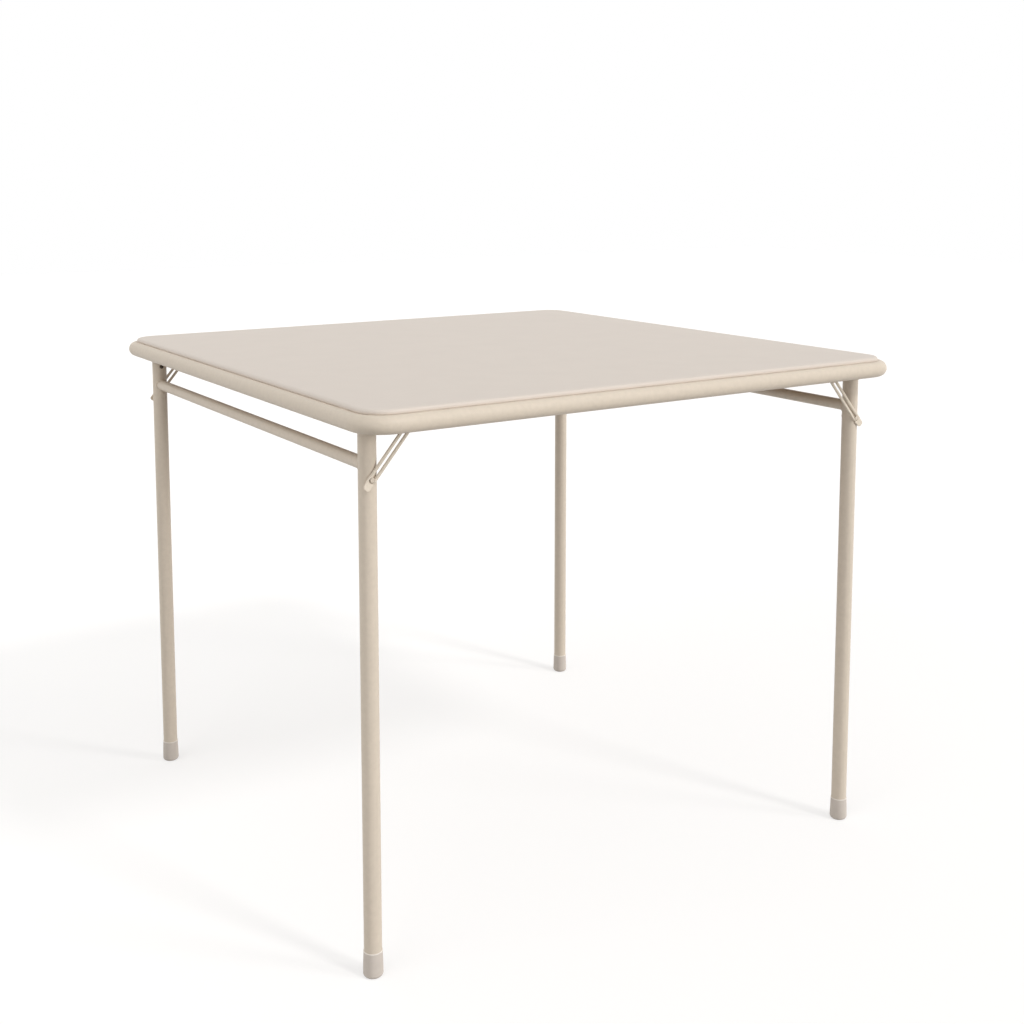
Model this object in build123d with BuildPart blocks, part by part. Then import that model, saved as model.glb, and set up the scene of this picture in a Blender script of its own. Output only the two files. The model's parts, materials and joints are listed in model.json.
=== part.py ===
"""Square folding card table: padded top, bent tube frame and two folding leg pairs with slotted braces.

Millimetres, +Z up. The origin is on the floor under the middle of the top. X runs from the left leg
pair to the right one and Y from front to back. Each pair folds inward about its own Y axis.
"""
from build123d import *
import os
from math import cos, radians, sin, tan

# Overall size
table_side = 868.0
table_height = 711.2

# Fits and clearances
seat_gap = 0.1
pin_fit = 0.05
slide_fit = 0.1

# Padded top
vinyl_t = 0.7
foam_t = 1.5
board_t = 3.2
panel_inset = 12.9
panel_corner_r = 34.0
panel_edge_r = 2.4
hem_width = 20.0

# Frame tube
rail_d = 22.2
rail_wall = 1.2
rail_bend_r = 35.0
seam_gap = 0.4
joiner_wall = 1.2
joiner_length = 90.0

# Cross channels under the board
channel_x = 130.0
channel_depth = 7.5
channel_width = 24.0
channel_flange = 8.0
channel_t = 1.0

# Clips and screws that hold the top on the frame
clip_inset_x = 184.0
clip_inset_y = 234.0
clip_width = 24.0
clip_reach = 46.0
clip_t = 2.0
screw_r = 1.7
screw_head_r = 3.6
screw_head_t = 1.8
screw_inset = 38.0
screw_tip_cover = 0.6

# Legs
leg_d = 22.2
leg_wall = 1.0
leg_inset_x = 44.0
leg_inset_y = 67.5
nest_shift = 13.5
leg_crown = 10.5
pivot_drop = 28.0
sleeve_wall = 1.0
sleeve_length = 46.0
sleeve_rivet_drop = 18.0
sleeve_rivet_r = 1.6
sleeve_rivet_head_r = 3.2
sleeve_rivet_head_t = 1.4
crossbar_d = 16.0
crossbar_wall = 1.0
crossbar_drop = 48.0

# Foot caps
cap_d = 25.0
cap_taper = 0.35
cap_height = 33.0
cap_floor = 4.0
cap_lip_height = 2.6
cap_edge_r = 2.0
washer_t = 1.2

# Leg hangers
ear_t = 2.0
ear_r = 10.0
ear_gap = 0.6
pivot_r = 3.0
pivot_head_r = 4.6
pivot_head_t = 2.0
pivot_peen_r = 4.0
pivot_peen_t = 1.0

# Slotted braces and their lock rivets
brace_slope = 50.0
lock_drop = 64.0
brace_width = 12.0
brace_t = 2.4
brace_web_t = 1.2
brace_rim = 1.2
brace_gap = 0.5
brace_tab = 15.0
slot_width = 4.2
notch_r = 1.5
brace_boss_r = 4.6
brace_ear_gap = 0.4
brace_ear_r = 8.0
brace_pivot_r = 2.5
brace_pivot_head_r = 4.0
brace_pivot_head_t = 1.0
rivet_r = 2.5
rivet_head_r = 4.5
rivet_head_t = 1.5
rivet_proud = 0.2
lock_head_r = 4.3
lock_head_edge_r = 0.4

# Places worked out from the sizes above
panel_t = vinyl_t + foam_t + board_t + vinyl_t
panel_side = table_side - 2 * panel_inset
panel_under_z = table_height - panel_t
board_under_z = panel_under_z + vinyl_t
board_top_z = board_under_z + board_t
rail_r = rail_d / 2
rail_z = panel_under_z - seat_gap - rail_r
rail_centre = table_side / 2 - rail_r
leg_r = leg_d / 2
leg_x = table_side / 2 - leg_inset_x
leg_y = table_side / 2 - leg_inset_y
clip_side_x = table_side / 2 - clip_inset_x
clip_end_y = table_side / 2 - clip_inset_y
bore_r = leg_r - leg_wall
pivot_z = table_height - pivot_drop
lock_z = pivot_z - lock_drop
leg_bottom_z = cap_floor + washer_t
leg_top_z = pivot_z + leg_crown
brace_pivot_x = leg_x - lock_drop / tan(radians(brace_slope))
lock_reach = lock_drop / sin(radians(brace_slope))
folded_reach = lock_drop - (leg_x - brace_pivot_x)

# Each station is one leg with its brace: the side of the table in X and in Y
stations = {
    "front_left": (-1, -1),
    "back_left": (-1, 1),
    "front_right": (1, -1),
    "back_right": (1, 1),
}

os.makedirs("parts", exist_ok=True)


def save(solid, name):
    """Label a finished piece and write it under its own name."""
    solid.label = name
    export_step(solid, f"parts/{name}.step")


def side_plane(y):
    """A plane across Y whose sketch axes are the table's X and Z, extruding towards -Y."""
    return Plane(origin=(0, y, 0), x_dir=(1, 0, 0), z_dir=(0, -1, 0))


def leg_line_y(side_x, side_y):
    """Y of a leg's axis. The pairs are shifted opposite ways, so that they fold side by side."""
    return side_y * leg_y - side_x * nest_shift


def outboard(station_y, side_y, near, far):
    """Lower and higher Y of a layer that lies between two distances outboard of a leg's axis."""
    return sorted((station_y + side_y * near, station_y + side_y * far))


def rod_y(radius, x, z, span, mode=Mode.ADD):
    """A round bar along Y between the two values in span."""
    with BuildSketch(side_plane(span[1])) as section:
        with Locations((x, z)):
            Circle(radius)
    extrude(section.sketch, amount=span[1] - span[0], mode=mode)


def rod_z(radius, x, y, low, high, mode=Mode.ADD):
    """A round bar along Z."""
    with BuildSketch(Plane.XY.offset(low)) as section:
        with Locations((x, y)):
            Circle(radius)
    extrude(section.sketch, amount=high - low, mode=mode)


def block(x_span, y_span, z_span, mode=Mode.ADD):
    """A box between the lower and higher values given for each axis."""
    centre = [(span[0] + span[1]) / 2 for span in (x_span, y_span, z_span)]
    size = [span[1] - span[0] for span in (x_span, y_span, z_span)]
    with Locations(tuple(centre)):
        Box(*size, mode=mode)


def rail_path():
    """The frame tube's centreline, open by the seam in the middle of the back."""
    half = rail_centre
    with BuildLine(Plane.XY.offset(rail_z)) as path:
        FilletPolyline(
            (-seam_gap / 2, half),
            (-half, half),
            (-half, -half),
            (half, -half),
            (half, half),
            (seam_gap / 2, half),
            radius=rail_bend_r,
        )
    return path.wires()[0]


def rail_solid(radius, bore=0):
    """A bar or tube that follows the frame's centreline."""
    path = rail_path()
    with BuildPart() as rail:
        with BuildSketch(Plane(origin=path @ 0, z_dir=path % 0)) as section:
            Circle(radius)
            if bore:
                Circle(bore, mode=Mode.SUBTRACT)
        sweep(section.sketch, path=path)
    return rail.part


def loop_prism():
    """The space inside the frame's centreline, used to end what is welded to the frame."""
    with BuildPart() as prism:
        with BuildSketch(Plane.XY.offset(rail_z - rail_d)):
            RectangleRounded(2 * rail_centre, 2 * rail_centre, rail_bend_r)
        extrude(amount=2 * rail_d)
    return prism.part


rail_envelope = rail_solid(rail_r + seat_gap)
inside_frame = loop_prism()


def cope():
    """Cut the piece that is being made so that it ends on the frame tube's inner side."""
    add(inside_frame, mode=Mode.INTERSECT)
    add(rail_envelope, mode=Mode.SUBTRACT)


# Top: board, foam and the vinyl that is drawn over both and turned under the board
core_side = panel_side - 2 * vinyl_t
core_corner_r = panel_corner_r - vinyl_t
screw_places = []
for side in (-1, 1):
    screw_line = side * (table_side / 2 - screw_inset)
    for along in (-1, 1):
        screw_places.append((along * clip_side_x, screw_line))
        screw_places.append((screw_line, along * clip_end_y))
screw_tip_z = board_top_z - screw_tip_cover
clip_top_z = panel_under_z - seat_gap
clip_under_z = clip_top_z - clip_t

with BuildPart() as top_board:
    with BuildSketch(Plane.XY.offset(board_under_z)):
        RectangleRounded(core_side, core_side, core_corner_r)
    extrude(amount=board_t)
    with BuildSketch(Plane.XY.offset(board_under_z)):
        with Locations(*screw_places):
            Circle(screw_r + pin_fit)
    extrude(amount=screw_tip_z + pin_fit - board_under_z, mode=Mode.SUBTRACT)
save(top_board.part, "top_board")

with BuildPart() as foam_pad:
    with BuildSketch(Plane.XY.offset(board_top_z)):
        RectangleRounded(core_side, core_side, core_corner_r)
    extrude(amount=foam_t)
    fillet(foam_pad.faces().sort_by(Axis.Z)[-1].edges(), min(panel_edge_r - vinyl_t, foam_t / 2))
save(foam_pad.part, "foam_pad")

with BuildPart() as vinyl_cover:
    with BuildSketch(Plane.XY.offset(panel_under_z)):
        RectangleRounded(panel_side, panel_side, panel_corner_r)
    extrude(amount=panel_t)
    fillet(vinyl_cover.faces().sort_by(Axis.Z)[-1].edges(), min(panel_edge_r, panel_t / 2))
    with BuildSketch(Plane.XY.offset(board_under_z)):
        RectangleRounded(core_side, core_side, core_corner_r)
    extrude(amount=board_t, mode=Mode.SUBTRACT)
    add(foam_pad.part, mode=Mode.SUBTRACT)
    with BuildSketch(Plane.XY.offset(panel_under_z)):
        hem_side = core_side - 2 * hem_width
        RectangleRounded(hem_side, hem_side, core_corner_r - hem_width)
    extrude(amount=vinyl_t, mode=Mode.SUBTRACT)
save(vinyl_cover.part, "vinyl_cover")

# Frame: one bent tube closed over an inner joiner
frame_tube = rail_solid(rail_r, rail_r - rail_wall)
save(frame_tube, "frame_tube")

with BuildPart() as frame_joiner:
    with BuildSketch(Plane.YZ.offset(-joiner_length / 2)):
        with Locations((rail_centre, rail_z)):
            Circle(rail_r - rail_wall - seat_gap)
            Circle(rail_r - rail_wall - seat_gap - joiner_wall, mode=Mode.SUBTRACT)
    extrude(amount=joiner_length)
save(frame_joiner.part, "frame_joiner")


def make_channel(x):
    """A shallow hat channel from front to back, with its flanges against the top."""
    half_width = channel_width / 2
    low = clip_top_z - channel_depth
    with BuildPart() as channel:
        with BuildSketch(side_plane(rail_centre)):
            with BuildLine():
                Polyline(
                    (x - half_width - channel_flange, clip_top_z),
                    (x - half_width + channel_t, clip_top_z),
                    (x - half_width + channel_t, low + channel_t),
                    (x + half_width - channel_t, low + channel_t),
                    (x + half_width - channel_t, clip_top_z),
                    (x + half_width + channel_flange, clip_top_z),
                    (x + half_width + channel_flange, clip_top_z - channel_t),
                    (x + half_width, clip_top_z - channel_t),
                    (x + half_width, low),
                    (x - half_width, low),
                    (x - half_width, clip_top_z - channel_t),
                    (x - half_width - channel_flange, clip_top_z - channel_t),
                    close=True,
                )
            make_face()
        extrude(amount=2 * rail_centre)
        cope()
    return channel.part


save(make_channel(-channel_x), "cross_channel_left")
save(make_channel(channel_x), "cross_channel_right")

with BuildPart() as panel_clips:
    for side in (-1, 1):
        for along in (-1, 1):
            edge = sorted((side * rail_centre, side * (table_side / 2 - clip_reach)))
            x_mid = along * clip_side_x
            y_mid = along * clip_end_y
            half_clip = clip_width / 2
            block((x_mid - half_clip, x_mid + half_clip), edge, (clip_under_z, clip_top_z))
            block(edge, (y_mid - half_clip, y_mid + half_clip), (clip_under_z, clip_top_z))
    cope()
    with BuildSketch(Plane.XY.offset(clip_under_z)):
        with Locations(*screw_places):
            Circle(screw_r + pin_fit)
    extrude(amount=clip_t, mode=Mode.SUBTRACT)
save(panel_clips.part, "panel_clips")

with BuildPart() as panel_screws:
    with BuildSketch(Plane.XY.offset(clip_under_z)):
        with Locations(*screw_places):
            Circle(screw_r)
    extrude(amount=screw_tip_z - clip_under_z)
    with BuildSketch(Plane.XY.offset(clip_under_z - screw_head_t)):
        with Locations(*screw_places):
            Circle(screw_head_r)
    extrude(amount=screw_head_t)
    fillet(panel_screws.faces().group_by(Axis.Z)[0].edges(), screw_head_t / 2)
save(panel_screws.part, "panel_screws")


def make_leg(side_x, side_y):
    """A leg tube with the holes for its pivot, sleeve rivet and lock rivet."""
    x = side_x * leg_x
    y = leg_line_y(side_x, side_y)
    through = outboard(y, side_y, -leg_d, leg_d)
    with BuildPart() as leg:
        rod_z(leg_r, x, y, leg_bottom_z, leg_top_z)
        rod_z(bore_r, x, y, leg_bottom_z, leg_top_z, Mode.SUBTRACT)
        rod_y(pivot_r + pin_fit, x, pivot_z, through, Mode.SUBTRACT)
        rod_y(rivet_r + pin_fit, x, lock_z, through, Mode.SUBTRACT)
        rivet_side = outboard(y, side_y, -leg_d, 0)
        rod_y(sleeve_rivet_r + pin_fit, x, pivot_z - sleeve_rivet_drop, rivet_side, Mode.SUBTRACT)
    return leg.part


def make_sleeve(side_x, side_y):
    """The stiffening sleeve inside the top of a leg."""
    x = side_x * leg_x
    y = leg_line_y(side_x, side_y)
    low = leg_top_z - sleeve_length
    sleeve_r = bore_r - seat_gap
    with BuildPart() as sleeve:
        rod_z(sleeve_r, x, y, low, leg_top_z)
        rod_z(sleeve_r - sleeve_wall, x, y, low, leg_top_z, Mode.SUBTRACT)
        rod_y(pivot_r + pin_fit, x, pivot_z, outboard(y, side_y, -leg_d, leg_d), Mode.SUBTRACT)
        rivet_side = outboard(y, side_y, -leg_d, 0)
        rod_y(sleeve_rivet_r + pin_fit, x, pivot_z - sleeve_rivet_drop, rivet_side, Mode.SUBTRACT)
    return sleeve.part


def make_sleeve_rivet(side_x, side_y):
    """The rivet that holds the sleeve, with its head on the leg's inboard face."""
    x = side_x * leg_x
    y = leg_line_y(side_x, side_y)
    z = pivot_z - sleeve_rivet_drop
    head_out = leg_r + sleeve_rivet_head_t
    with BuildPart() as rivet:
        rod_y(sleeve_rivet_head_r, x, z, outboard(y, side_y, -head_out, -bore_r))
        rod_z(leg_r + pin_fit, x, y, z - leg_d, z + leg_d, Mode.SUBTRACT)
        tail = bore_r - seat_gap - 2 * sleeve_wall
        rod_y(sleeve_rivet_r, x, z, outboard(y, side_y, -head_out, -tail))
    return rivet.part


def make_crossbar(side_x):
    """The bar between the two legs of a pair, its ends coped round the leg tubes."""
    x = side_x * leg_x
    z = pivot_z - crossbar_drop
    front_y = leg_line_y(side_x, -1)
    back_y = leg_line_y(side_x, 1)
    with BuildPart() as bar:
        rod_y(crossbar_d / 2, x, z, (front_y, back_y))
        rod_y(crossbar_d / 2 - crossbar_wall, x, z, (front_y, back_y), Mode.SUBTRACT)
        for y in (front_y, back_y):
            rod_z(leg_r + pin_fit, x, y, z - leg_d, z + leg_d, Mode.SUBTRACT)
    return bar.part


def make_foot_cap(side_x, side_y):
    """A moulded cap round the foot of a leg, with a lip at its mouth and a flat sole."""
    sole_r = cap_d / 2
    mouth_r = sole_r - cap_taper
    lip_r = sole_r
    inner_r = leg_r + pin_fit
    x = side_x * leg_x
    y = leg_line_y(side_x, side_y)
    axis_plane = Plane(origin=(x, y, 0), x_dir=(1, 0, 0), z_dir=(0, -1, 0))
    with BuildPart() as cap:
        with BuildSketch(axis_plane):
            with BuildLine():
                Polyline(
                    (0, 0),
                    (sole_r - cap_edge_r, 0),
                )
                RadiusArc((sole_r - cap_edge_r, 0), (sole_r, cap_edge_r), -cap_edge_r)
                Polyline(
                    (sole_r, cap_edge_r),
                    (mouth_r, cap_height - cap_lip_height),
                    (lip_r, cap_height - cap_lip_height),
                    (lip_r, cap_height),
                    (inner_r, cap_height),
                    (inner_r, cap_floor),
                    (0, cap_floor),
                    (0, 0),
                )
            make_face()
        revolve(axis=Axis((x, y, 0), (0, 0, 1)))
    return cap.part


def make_foot_washer(side_x, side_y):
    """The steel disc in a foot cap that keeps the tube's edge off the sole."""
    with BuildPart() as washer:
        rod_z(leg_r, side_x * leg_x, leg_line_y(side_x, side_y), cap_floor, cap_floor + washer_t)
    return washer.part


def make_leg_bracket(side_x, side_y):
    """An inverted U over the top of a leg, welded to the side rail, with an ear on each side."""
    x = side_x * leg_x
    y = leg_line_y(side_x, side_y)
    inner = leg_r + ear_gap
    outer = inner + ear_t
    web_top = clip_top_z
    with BuildPart() as bracket:
        web_x = sorted((x - side_x * ear_r, side_x * rail_centre))
        block(web_x, outboard(y, side_y, -outer, outer), (web_top - ear_t, web_top))
        for near, far in ((-outer, -inner), (inner, outer)):
            layer = outboard(y, side_y, near, far)
            block((x - ear_r, x + ear_r), layer, (pivot_z, web_top))
            rod_y(ear_r, x, pivot_z, layer)
        rod_y(pivot_r + pin_fit, x, pivot_z, outboard(y, side_y, -leg_d, leg_d), Mode.SUBTRACT)
        cope()
    return bracket.part


def make_leg_pivot(side_x, side_y):
    """The pin that a leg swings on, headed inboard and peened outboard."""
    x = side_x * leg_x
    y = leg_line_y(side_x, side_y)
    face = leg_r + ear_gap + ear_t
    with BuildPart() as pin:
        rod_y(pivot_r, x, pivot_z, outboard(y, side_y, -face, face))
        rod_y(pivot_head_r, x, pivot_z, outboard(y, side_y, -face - pivot_head_t, -face))
        rod_y(pivot_peen_r, x, pivot_z, outboard(y, side_y, face, face + pivot_peen_t))
    return pin.part


def brace_point(side_x, reach):
    """X and Z of a point on a brace's centreline at a distance from its pivot."""
    slope = radians(brace_slope)
    return (side_x * (brace_pivot_x + reach * cos(slope)), pivot_z - reach * sin(slope))


def brace_slot(side_x, near, far, width, plane_y, thickness, mode=Mode.ADD):
    """A round-ended strip along a brace between two distances from its pivot."""
    with BuildSketch(side_plane(plane_y)) as outline:
        with Locations(Location(brace_point(side_x, (near + far) / 2))):
            SlotCenterToCenter(far - near, width, rotation=-side_x * brace_slope)
    extrude(outline.sketch, amount=thickness, mode=mode)


def make_brace(side_x, side_y):
    """A pressed strip with raised rims, a pivot hole and a long slot that ends in the lock notch."""
    y = leg_line_y(side_x, side_y)
    inner = leg_r + brace_gap
    full = outboard(y, side_y, inner, inner + brace_t)
    raised = outboard(y, side_y, inner + brace_web_t, inner + brace_t)
    tab_reach = lock_reach + brace_tab
    floor_width = brace_width - 2 * brace_rim
    with BuildPart() as brace:
        brace_slot(side_x, 0, tab_reach, brace_width, full[1], brace_t)
        brace_slot(side_x, 0, tab_reach, floor_width, raised[1], brace_t - brace_web_t, Mode.SUBTRACT)
        pivot_x, pivot_zz = brace_point(side_x, 0)
        rod_y(brace_boss_r, pivot_x, pivot_zz, full)
        rod_y(brace_pivot_r + pin_fit, pivot_x, pivot_zz, full, Mode.SUBTRACT)
        brace_slot(side_x, folded_reach, lock_reach, slot_width, full[1], brace_t, Mode.SUBTRACT)
        slope = radians(brace_slope)
        lock_x, lock_zz = brace_point(side_x, lock_reach)
        notch_x = lock_x - side_x * sin(slope) * slot_width / 2
        notch_z = lock_zz - cos(slope) * slot_width / 2
        rod_y(notch_r, notch_x, notch_z, full, Mode.SUBTRACT)
    return brace.part


def make_brace_bracket(side_x, side_y):
    """The ear that carries a brace's pivot, bent over at the top and welded to the rail."""
    y = leg_line_y(side_x, side_y)
    x = side_x * brace_pivot_x
    inner = leg_r + brace_gap + brace_t + brace_ear_gap
    ear = outboard(y, side_y, inner, inner + ear_t)
    web = sorted((y + side_y * inner, side_y * rail_centre))
    with BuildPart() as bracket:
        block((x - brace_ear_r, x + brace_ear_r), web, (clip_top_z - ear_t, clip_top_z))
        block((x - brace_ear_r, x + brace_ear_r), ear, (pivot_z, clip_top_z))
        rod_y(brace_ear_r, x, pivot_z, ear)
        rod_y(brace_pivot_r + pin_fit, x, pivot_z, ear, Mode.SUBTRACT)
        cope()
    return bracket.part


def make_brace_pivot(side_x, side_y):
    """The pin at a brace's upper end, headed outboard and flush with the brace inboard."""
    y = leg_line_y(side_x, side_y)
    x = side_x * brace_pivot_x
    inner = leg_r + brace_gap
    ear_face = inner + brace_t + brace_ear_gap + ear_t
    head = outboard(y, side_y, ear_face, ear_face + brace_pivot_head_t)
    with BuildPart() as pin:
        rod_y(brace_pivot_r, x, pivot_z, outboard(y, side_y, inner, ear_face))
        rod_y(brace_pivot_head_r, x, pivot_z, head)
    return pin.part


def make_lock_rivet(side_x, side_y):
    """The cross rivet in a leg whose outboard end the brace bears on."""
    x = side_x * leg_x
    y = leg_line_y(side_x, side_y)
    with BuildPart() as rivet:
        rod_y(rivet_head_r, x, lock_z, outboard(y, side_y, -leg_r - rivet_head_t, -bore_r))
        rod_z(leg_r + pin_fit, x, y, lock_z - leg_d, lock_z + leg_d, Mode.SUBTRACT)
        rod_y(rivet_r, x, lock_z, outboard(y, side_y, -leg_r - rivet_head_t, leg_r + rivet_proud))
    return rivet.part


def make_lock_cap(side_x, side_y):
    """The rivet's neck and head, which run along the brace's slot."""
    x = side_x * leg_x
    y = leg_line_y(side_x, side_y)
    inner = leg_r + brace_gap
    outer = inner + brace_t
    head = outboard(y, side_y, inner + brace_web_t + slide_fit, outer)
    with BuildPart() as cap:
        rod_y(lock_head_r, x, lock_z, head)
        faces = cap.faces().filter_by(Axis.Y).sort_by(Axis.Y)
        crown = faces[-1] if side_y > 0 else faces[0]
        fillet(crown.edges(), lock_head_edge_r)
        neck = outboard(y, side_y, inner, outer - lock_head_edge_r)
        rod_y(slot_width / 2 - slide_fit, x, lock_z, neck)
    return cap.part


makers = {
    "leg": make_leg,
    "leg_sleeve": make_sleeve,
    "sleeve_rivet": make_sleeve_rivet,
    "foot_cap": make_foot_cap,
    "foot_washer": make_foot_washer,
    "leg_bracket": make_leg_bracket,
    "leg_pivot": make_leg_pivot,
    "brace": make_brace,
    "brace_bracket": make_brace_bracket,
    "brace_pivot": make_brace_pivot,
    "lock_rivet": make_lock_rivet,
    "lock_cap": make_lock_cap,
}
for kind, make in makers.items():
    for place, (side_x, side_y) in stations.items():
        save(make(side_x, side_y), f"{kind}_{place}")

save(make_crossbar(-1), "crossbar_left")
save(make_crossbar(1), "crossbar_right")
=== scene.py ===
"""Folding card table: the looks around its packed CAD frame.

The tubes, board, channels and clips keep their CAD solids and get their finishes here. The vinyl top,
its foam, the braces, hangers, rivets, screws, staples, welds and foot caps are built in mesh code and
Geometry Nodes, in metres, in the frame's own axes.
"""
import json
import math
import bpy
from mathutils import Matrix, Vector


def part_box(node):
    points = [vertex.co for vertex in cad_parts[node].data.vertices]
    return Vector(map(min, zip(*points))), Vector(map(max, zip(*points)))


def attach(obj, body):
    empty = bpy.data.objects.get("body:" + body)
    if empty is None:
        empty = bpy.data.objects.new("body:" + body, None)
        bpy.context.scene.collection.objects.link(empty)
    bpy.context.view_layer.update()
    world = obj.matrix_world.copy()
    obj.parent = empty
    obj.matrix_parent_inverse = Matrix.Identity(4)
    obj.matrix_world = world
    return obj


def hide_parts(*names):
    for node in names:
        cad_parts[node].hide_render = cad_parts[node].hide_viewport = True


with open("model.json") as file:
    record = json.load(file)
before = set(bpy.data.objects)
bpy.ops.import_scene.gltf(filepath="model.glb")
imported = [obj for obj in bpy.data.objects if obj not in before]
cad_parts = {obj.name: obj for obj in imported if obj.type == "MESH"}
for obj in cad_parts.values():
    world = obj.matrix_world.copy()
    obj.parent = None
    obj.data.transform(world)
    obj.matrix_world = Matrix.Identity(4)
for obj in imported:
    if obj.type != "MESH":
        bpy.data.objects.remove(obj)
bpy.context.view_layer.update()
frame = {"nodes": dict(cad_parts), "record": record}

from types import SimpleNamespace

import bmesh
import bpy
from bpy.props import FloatProperty, FloatVectorProperty, IntProperty, PointerProperty
from mathutils import Color, Euler, Matrix, Vector
from mathutils.geometry import delaunay_2d_cdt

bl_info = {
    "name": "Folding card table",
    "version": (1, 0, 0),
    "blender": (4, 5, 0),
    "location": "View3D > Sidebar > Card Table",
    "description": "Dresses the folding card table's CAD frame with its finishes and fine parts",
    "category": "Object",
}

MM = 0.001
# A new piece's edges that are sharper than this stay hard
SHARP_ANGLE = math.radians(38)

# Each station is one leg with its brace: the side of the table in X and in Y
STATIONS = {
    "front_left": (-1, -1),
    "back_left": (-1, 1),
    "front_right": (1, -1),
    "back_right": (1, 1),
}
LEG_PAIRS = {"left_legs": -1, "right_legs": 1}
# Distances in from the top's edge of the rings that shape its crown, in millimetres
CROWN_INSETS = (7, 11, 17, 25, 36, 48)
SLOT_OF = {part["node"]: part["material_slot"] for part in frame["record"]["subparts"]}


def linear(hex_text):
    """Linear RGBA of an sRGB hex colour."""
    values = [int(hex_text.lstrip("#")[i : i + 2], 16) / 255 for i in (0, 2, 4)]
    return [v / 12.92 if v <= 0.04045 else ((v + 0.055) / 1.055) ** 2.4 for v in values] + [1.0]


def length_setting(name, description, default):
    """A length property, given here in millimetres and kept in metres."""
    return FloatProperty(
        name=name, description=description, default=default * MM, min=0.0, unit="LENGTH", precision=5
    )


def colour_setting(name, description, hex_text):
    """A colour property, given here as sRGB hex and kept linear."""
    return FloatVectorProperty(
        name=name, description=description, default=linear(hex_text)[:3], subtype="COLOR", min=0.0, max=1.0
    )


def way_setting(name, description, default):
    """A direction property."""
    return FloatVectorProperty(name=name, description=description, default=default, subtype="DIRECTION")


def angle_setting(name, description, degrees):
    """An angle property, given here in degrees."""
    return FloatProperty(name=name, description=description, default=math.radians(degrees), unit="ROTATION")


def share_setting(name, description, default):
    """A share from 0 to 1."""
    return FloatProperty(
        name=name, description=description, default=default, min=0.0, max=1.0, subtype="FACTOR"
    )


def strength_setting(name, description, default):
    """The strength of a lamp or of the surround."""
    return FloatProperty(name=name, description=description, default=default, min=0.0)


def read_sizes(group):
    """A property group's values, its lengths in millimetres and its colours with alpha."""
    values = {}
    for name in group.__annotations__:
        value = getattr(group, name)
        if isinstance(value, Color):
            value = list(value) + [1.0]
        elif isinstance(value, float) and group.bl_rna.properties[name].unit == "LENGTH":
            value /= MM
        values[name] = value
    return SimpleNamespace(**values)


class TopSizes(bpy.types.PropertyGroup):
    """The padded top: its vinyl, foam and staples."""

    corner_radius: length_setting("Corner radius", "Radius of the top's corners in plan", 34.0)
    roll_width: length_setting("Roll width", "How far in the edge's roll reaches", 4.6)
    roll_start: length_setting("Roll start", "Height above the underside where the roll starts", 2.4)
    under_radius: length_setting("Under radius", "Rounding of the lower edge", 2.2)
    hem_swell: length_setting("Hem swell", "How far the gathered hem swells down on the rail", 0.9)
    crown_height: length_setting("Crown height", "Rise of the foam from the edge to the middle", 0.45)
    crown_reach: length_setting("Crown reach", "Distance from the edge over which the crown rises", 60.0)
    hem_width: length_setting("Hem width", "Width of the vinyl that is turned under", 20.7)
    vinyl_thickness: length_setting("Vinyl thickness", "Thickness of the vinyl sheet", 0.7)
    foam_gap: length_setting("Foam gap", "Room between the foam and the vinyl", 0.05)
    pleat_depth: length_setting("Pleat depth", "Depth of the tucks under each corner", 0.7)
    pleat_count: IntProperty(name="Pleats", description="Tucks under each corner", default=5, min=0)
    staple_pitch: length_setting("Staple pitch", "Distance between staples in the hem", 36.0)
    staple_start: length_setting("Staple start", "Least distance of a staple from the row's end", 40.0)
    staple_line: share_setting("Staple line", "Where in the hem's width the staples lie", 0.62)
    staple_room: length_setting("Staple room", "Distance kept from the clips, channels and hangers", 9.0)
    staple_crown: length_setting("Staple crown", "Width of a staple", 10.0)
    staple_wire: length_setting("Staple wire", "Thickness of a staple's wire", 0.9)
    staple_leg: length_setting("Staple leg", "Depth of a staple's legs in the board", 2.4)
    staple_turn: angle_setting("Staple turn", "How far a staple may be turned at random", 4.0)
    vinyl_colour: colour_setting("Vinyl colour", "Colour of the vinyl", "#D8CDC2")
    foam_colour: colour_setting("Foam colour", "Colour of the foam", "#EDE6D2")
    board_colour: colour_setting("Board colour", "Colour of the hardboard", "#9A7A56")
    wire_colour: colour_setting("Wire colour", "Colour of the staples", "#BDBFC0")
    grain: length_setting("Grain", "Size of the vinyl's embossed cells", 1.6)


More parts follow.
